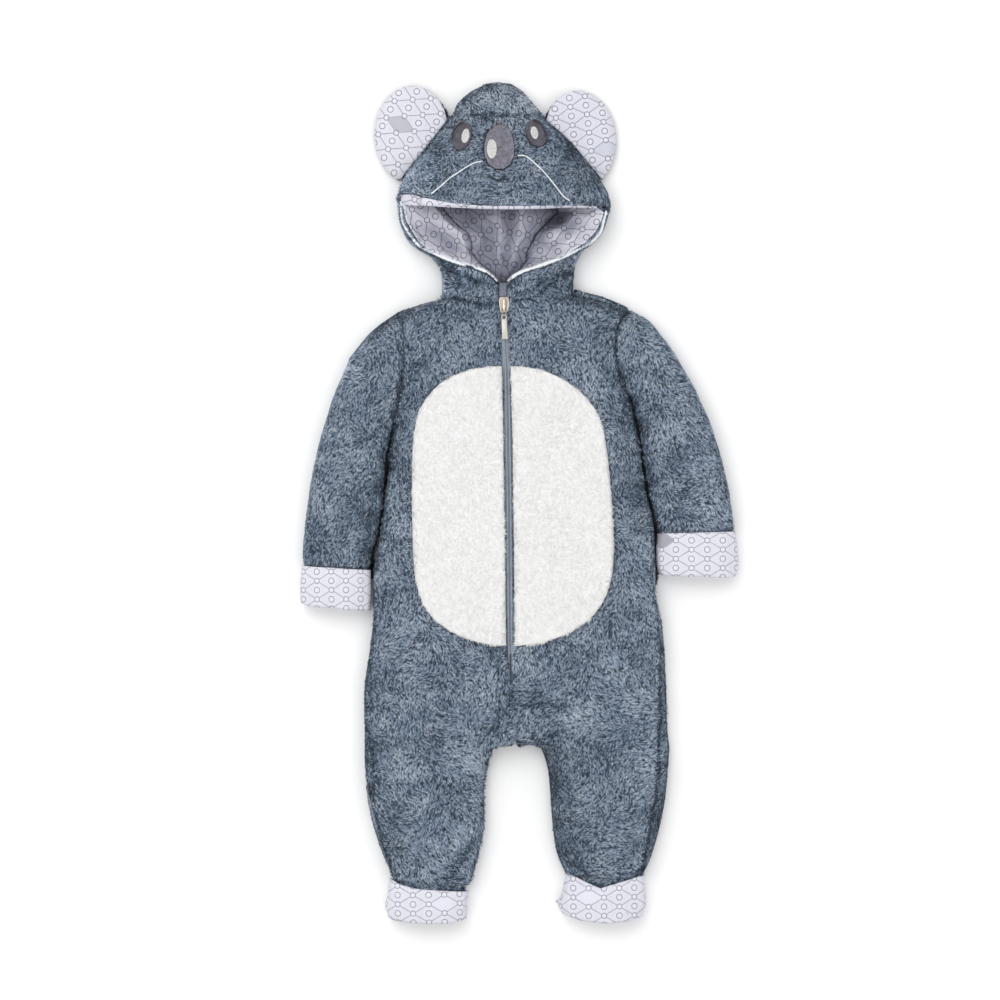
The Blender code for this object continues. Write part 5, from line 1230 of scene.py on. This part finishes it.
def fill_stitches(name, material, pitch, length, wild, radius, seed, angle=90.0):
    """Rows of threads that fill a patch."""
    own = np.random.default_rng(seed)
    half_x, half_y = PATCHES[name][2:4]
    starts, ends = [], []
    rows = int(2 * half_x / pitch)
    steps = int(2 * half_y / (length * 0.8))
    for r in range(rows):
        for k in range(steps + 1):
            u = -1 + 2 * (r + 0.5) / rows + own.normal(0, 0.02)
            v = -1 + 2 * (k + 0.5 * (r % 2) + own.uniform(-0.3, 0.3)) / steps
            if math.hypot(u, v) > 0.9:
                continue
            x, y = patch_xy(name, u, v)
            turn = math.radians(angle + own.normal(0, wild))
            dx, dy = math.cos(turn) * length / 2, math.sin(turn) * length / 2
            starts.append((x - dx, y - dy))
            ends.append((x + dx, y + dy))
    starts, ends = (laid(points, [name], 0.0, 0) for points in (starts, ends))
    return threads(name + "_fill", starts, ends, 0.3, radius, material, sides=4)


for order, name in enumerate(("eye_left", "eye_right", "nose")):
    nose = name == "nose"
    cloth[name][1].extend((
        rim_stitches(name, RIM_THREAD, 2.4 if nose else 2.0, 0.62, 300 + order),
        fill_stitches(name, NOSE if nose else EYE, 0.95, 2.6, 26, 0.4, 310 + order)))
for order, name in enumerate(("eye_glint_left", "eye_glint_right", "nose_glint")):
    cloth[name][1].append(fill_stitches(name, GLINT, 0.62, 2.0, 20, 0.27, 320 + order, angle=120))

for side, line in zip(("left", "right"), CHEEKS):
    path = laid(smooth_line(line, 1.0), ["hood_face"], -0.15, 6)
    satin(f"cheek_{side}", path, 1.2, 0.5, 0.45, 0.5, 0.25, WHITE_THREAD, jitter=0.35,
          seed=330 + len(line))
smile_path = laid(smooth_line(SMILE, 1.0), ["hood_face"], 1.5, 4)
satin("smile", smile_path, 0.9, 0.5, 0.5, 0.4, 0.36, DARK_THREAD, seed=340)

# ---------------- edge of the mouth

MOUTH_NODES = ["hood_lining_left", "hood_lining_centre", "hood_lining_right", "hood_side_left",
               "hood_side_right", "hood_facing"]
for side, line in MOUTH_LINES.items():
    edge_line = smooth_line(line, 0.8)
    inward = unit(np.gradient(edge_line, axis=0))[:, ::-1] * [-1.0, 1.0]
    edge_line = edge_line + inward * (0.9 if side == "left" else -0.7)
    path = laid(edge_line, MOUTH_NODES, 0.2, 8)
    satin(f"mouth_edge_{side}", path, 3.0, 0.7, 0.5, 0.45, 0.34, WHITE_THREAD, jitter=0.3,
          seed=350 + len(line))
    tube(f"mouth_cord_{side}", path - np.array([0, 0, 0.35]), 2.2, 0.9, WHITE_THREAD, ply=0.25,
         twist=0.35)


def grid_sheet(name, points, per, material, thickness, offset):
    """A thin sheet through rows of so many points, in table mm."""
    faces = [(r * per + c, r * per + c + 1, (r + 1) * per + c + 1, (r + 1) * per + c)
             for r in range(len(points) // per - 1) for c in range(per - 1)]
    obj = mesh_object(name, in_frame(points), faces, material)
    smooth(obj, 70)
    wall = obj.modifiers.new("wall", "SOLIDIFY")
    wall.thickness = thickness * MM
    wall.offset = offset
    return obj


# The facing's turned-out corner: its upper and lower edges, table mm.
corner_top = np.array([(-94.2, 270.2), (-90.0, 270.6), (-85.0, 270.4), (-80.0, 269.0),
                       (-76.0, 267.4)])
corner_low = np.array([(-93.8, 263.4), (-90.4, 261.8), (-86.6, 260.8), (-82.0, 260.4),
                       (-77.6, 260.4)])
patch_grid = [top + (low - top) * t
              for top, low in zip(corner_top, corner_low) for t in np.linspace(0, 1, 6)]
patch_points = laid(patch_grid, MOUTH_NODES + ["hood_face"], 0.0, 0)
plane = np.column_stack([patch_points[:, :2], np.ones(len(patch_points))])
held = np.ones(len(patch_points), dtype=bool)
for _ in range(4):
    slope = np.linalg.lstsq(plane[held], patch_points[held, 2], rcond=None)[0]
    held = patch_points[:, 2] > plane @ slope - 1.0
patch_points[:, 2] = plane @ slope + 0.5
corner = grid_sheet("facing_corner", patch_points, 6, LINING_PRINT, 0.5, 1.0)
zone_map(corner, in_frame(patch_points), ZONES["hood_facing"])
# The turned-out corner gets one even level of painted shade, nearly fully lit.
corner_painted_shade = np.full(len(patch_points), 0.88)
put_map(corner, "depth", corner_painted_shade, corner_painted_shade)

# ---------------- zip

# The zip's middle, table mm, from the slider down.
ZIP = ((-4.84, 181.0), (-3.9, 163.0), (-1.32, 117.5), (0.44, 3.1), (1.32, -120.1), (2.2, -166.8))


def zip_x(y):
    """x of the zip's middle at y, table mm."""
    x, places = zip(*ZIP[::-1])
    return np.interp(y, places, x)


zip_ys = np.arange(176.0, -137.0, -1.6)
zip_top = laid([(zip_x(y), y) for y in zip_ys], ["zip_tape"], 0.0, 3)[:, 2]
narrow = np.interp(zip_ys, [-137, -130, -120, 108, 122, 140, 176],
                   [0.3, 0.6, 1, 1, 0.7, 0.5, 0.5])
for side in (-1, 1):
    path = np.column_stack([zip_x(zip_ys) + side * 1.55 * narrow, zip_ys, zip_top + 0.3])
    band = tube(f"zip_band_{'left' if side < 0 else 'right'}", path, 1.75 * narrow, 1.3, BAND,
                sides=10, ply=0.05, twist=0.5)
    cloth["zip_tape"][1].append(band)
# A near-black cord along the zip's lower end: painted shade in the slit where the pile closes over
# it.
tail_ys = np.arange(-132.0, -170.0, -1.5)
tail = laid([(zip_x(y), y) for y in tail_ys], ["zip_tape", "front_left", "front_right"], 1.6, 3)
cloth["zip_tape"][1].append(tube("zip_tail", tail, 1.5, 1.4, DARK_THREAD, ply=0.2, twist=0.3))
teeth_y = np.arange(175.0, -135.0, -1.25)
teeth_z = np.interp(teeth_y[::-1], zip_ys[::-1], zip_top[::-1])[::-1]
side_of = np.where(np.arange(len(teeth_y)) % 2, 1.0, -1.0)
tooth_a = np.column_stack([zip_x(teeth_y) + side_of * 1.1, teeth_y, teeth_z + 0.15])
tooth_b = np.column_stack([zip_x(teeth_y) - side_of * 0.45, teeth_y - 0.25, teeth_z + 0.15])
cloth["zip_tape"][1].append(threads("zip_teeth", tooth_a, tooth_b, 0.22, 0.34, COIL))


def rounded(name, outline, z_low, z_high, bevel, material, body):
    """A plate with the outline (table mm) and rounded upper and lower edges."""
    outline = np.array(outline, dtype=float)
    centre = outline.mean(axis=0)
    size = np.abs(outline - centre).max(axis=0)
    rings = []
    for share, z in ((1, z_low), (0.3, z_low + 0.3 * bevel), (0, z_low + bevel),
                     (0, z_high - bevel), (0.3, z_high - 0.3 * bevel), (1, z_high)):
        shrink = 1 - share * bevel / size
        ring = centre + (outline - centre) * shrink
        rings.append(np.column_stack([ring, np.full(len(ring), z)]))
    faces = ring_faces(len(rings), len(outline))
    obj = mesh_object(name, in_frame(np.vstack(rings)), faces, material, body)
    smooth(obj, 45)
    return obj


def closed_curve(points, per):
    """Rounded closed outline through points, with so many places a piece."""
    p = np.array(points, dtype=float)
    t = np.linspace(0, 1, per, endpoint=False)[:, None]
    around = (np.roll(p, -k, axis=0) for k in (-1, 0, 1, 2))
    return np.vstack([spline(*four, t) for four in zip(*around)])


def half_mirrored(half, x):
    """Closed outline from its right half (dx, y from the top down), about x."""
    right = [(x + dx, y) for dx, y in half]
    left = [(x - dx, y) for dx, y in reversed(half) if dx > 0.01]
    return right + left


SLIDER_X = -3.94  # the slider's middle, table mm
slider_half = ((0.0, 181.0), (2.6, 181.0), (3.7, 180.4), (4.15, 178.6), (4.25, 175.5),
               (3.95, 172.0), (3.4, 169.2), (2.7, 167.6), (1.5, 167.0), (0.0, 166.9))
slider_outline = closed_curve(half_mirrored(slider_half, SLIDER_X), 3)
plate = rounded("slider_plate", slider_outline, 29.5, 30.7, 0.35, SHADED_METAL, "garment")
rim_path = np.column_stack([slider_outline, np.full(len(slider_outline), 30.9)])
slider_middle = np.array([SLIDER_X, 174.0])
rim_path[:, :2] = slider_middle + (rim_path[:, :2] - slider_middle) * 0.88
rim = tube("slider_rim", np.vstack([rim_path, rim_path[:1]]), 1.15, 1.2, METAL, sides=10)
bar_side = ((180.2, 30.9), (178.8, 32.0), (176.0, 33.2), (173.4, 34.3), (171.4, 34.9),
            (169.2, 34.9), (167.8, 34.0), (167.2, 31.2))
bar_line = smooth_line([(SLIDER_X, y, z) for y, z in bar_side], 0.5)
bar_width = np.interp(bar_line[:, 1], [167.0, 170.4, 171.8, 180.5], [1.3, 1.2, 2.3, 2.2])
bar = tube("slider_bridge", bar_line, bar_width, 1.1, METAL, sides=12)
seat_outline = [(SLIDER_X + dx, y)
                for dx, y in ((-3.0, 180.4), (3.0, 180.4), (3.0, 168.6), (-3.0, 168.6))]
seat = rounded("slider_seat", seat_outline, 28.3, 29.6, 0.2, SHADED_METAL, "garment")
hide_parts("zip_slider")

PULL_Z = 33.45  # height of the pull's ring at rest, mm
pin = tube("pull_pin", [(SLIDER_X + dx, 169.8, PULL_Z) for dx in (-1.9, 0.0, 1.9)], 1.0, 1.0,
           SHADED_METAL, sides=12, body="pull")
for name, side in (("pull_arm_left", -1), ("pull_arm_right", 1)):
    arm = [(SLIDER_X + side * dx, y, PULL_Z)
           for dx, y in ((1.7, 169.9), (1.75, 168.0), (1.5, 166.0), (1.2, 164.6))]
    tube(name, smooth_line(arm, 0.5), 0.8, 0.9, SHADED_METAL, sides=10, body="pull")
turns = np.linspace(0, math.tau, 37)
ring_path = np.column_stack([SLIDER_X + 2.08 * np.cos(turns), 163.0 + 2.15 * np.sin(turns),
                             np.full(37, PULL_Z)])
ring = tube("pull_ring", ring_path, 1.15, 1.1, PULL_METAL, sides=12, body="pull")
tag_side = [(1.9, 161.4), (2.35, 160.6), (2.45, 152.0), (2.65, 145.2), (2.6, 144.1),
            (2.2, 143.85)]
tag_around = [(-1.9, 161.4)] + tag_side + [(-dx, y) for dx, y in tag_side[:0:-1]]
tag_outline = [(SLIDER_X + dx + (161.4 - y) / 17.5, y) for dx, y in tag_around]
tag = rounded("pull_tag", tag_outline, 32.95, 33.95, 0.3, PULL_METAL, "pull")
lip_outline = [(SLIDER_X + dx, y)
               for dx, y in ((-1.4, 145.6), (3.4, 145.6), (3.4, 144.4), (-1.4, 144.4))]
lip = rounded("pull_lip", lip_outline, 33.8, 34.25, 0.15, PULL_METAL, "pull")
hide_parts("zip_pull")

# Smooth facing behind the top of the zip, between the two sides of the neck.
guard_rows = [
    (-4.9 + dx * 3.2, y, 27.6 - 2.6 * ((y - 180.6) / 12.9) ** 2 + 0.5 * (1 - dx * dx))
    for y in np.linspace(193.5, 180.6, 8) for dx in np.linspace(-1, 1, 7)]
guard = grid_sheet("zip_guard", guard_rows, 7, GUARD, 0.8, -1.0)

SLOT_OF = {"belly": "belly_fleece", "sleeve_cuff": "printed_cotton", "leg_cuff": "printed_cotton",
           "hood_lining": "printed_cotton", "hood_facing": "printed_cotton",
           "ear_front": "printed_cotton", "eye_glint": "glint_thread", "nose_glint": "glint_thread",
           "eye": "applique_cloth", "nose": "applique_cloth", "zip_tape": "zip_tape"}
for name, (obj, extras) in cloth.items():
    slot = by_start(SLOT_OF, name, "fleece")
    extras = [e for e in extras if e]
    if "glint" in name:
        continue  # a glint is thread alone, under 10 mm wide
    half = sum(p.area for p in obj.data.polygons) / 2
    low, high = np.array(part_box(name))

# ---------------- floor, light, camera

floor_mesh = bpy.data.meshes.new("floor")
floor_mesh.from_pydata([(-6, -6, 0), (6, -6, 0), (6, 6, 0), (-6, 6, 0)], [], [(0, 1, 2, 3)])
floor = new_object("floor", floor_mesh)
floor_look = Graph("floor", "F6F6F6", 0.9, Specular_IOR_Level=0.1)
cloudy = floor_look.noise(floor_look.place(), 2.0)
floor_look.color(floor_look.ramp(cloudy, (0.3, "F4F4F4"), (0.7, "F7F7F7")))
floor_mesh.materials.append(floor_look.mat)

world = bpy.data.worlds.new("studio")
world.use_nodes = True
sky = world.node_tree.nodes["Background"].inputs
sky[0].default_value = (1, 1, 1, 1)
sky[1].default_value = 0.88
bpy.context.scene.world = world


def area_light(name, place, size, power):
    """A square light at a place in metres, aimed at the garment."""
    data = bpy.data.lights.new(name, "AREA")
    data.shape = "SQUARE"
    data.size = size
    data.energy = power
    obj = new_object(name, data)
    obj.location = place
    obj.rotation_euler = (-Vector(place)).to_track_quat("-Z", "Y").to_euler()


area_light("key", (-0.9, 1.0, 2.4), 2.2, 31)
area_light("fill", (0.8, -0.8, 2.5), 2.2, 9)

camera_data = bpy.data.cameras.new("camera")
camera_data.lens = 150
camera_data.sensor_width = 36
camera = new_object("camera", camera_data)
camera.location = (-0.01698, 0.00163, 0.015 + 0.88 * 150 / 36)
bpy.context.scene.camera = camera
bpy.context.scene.view_settings.view_transform = "Standard"
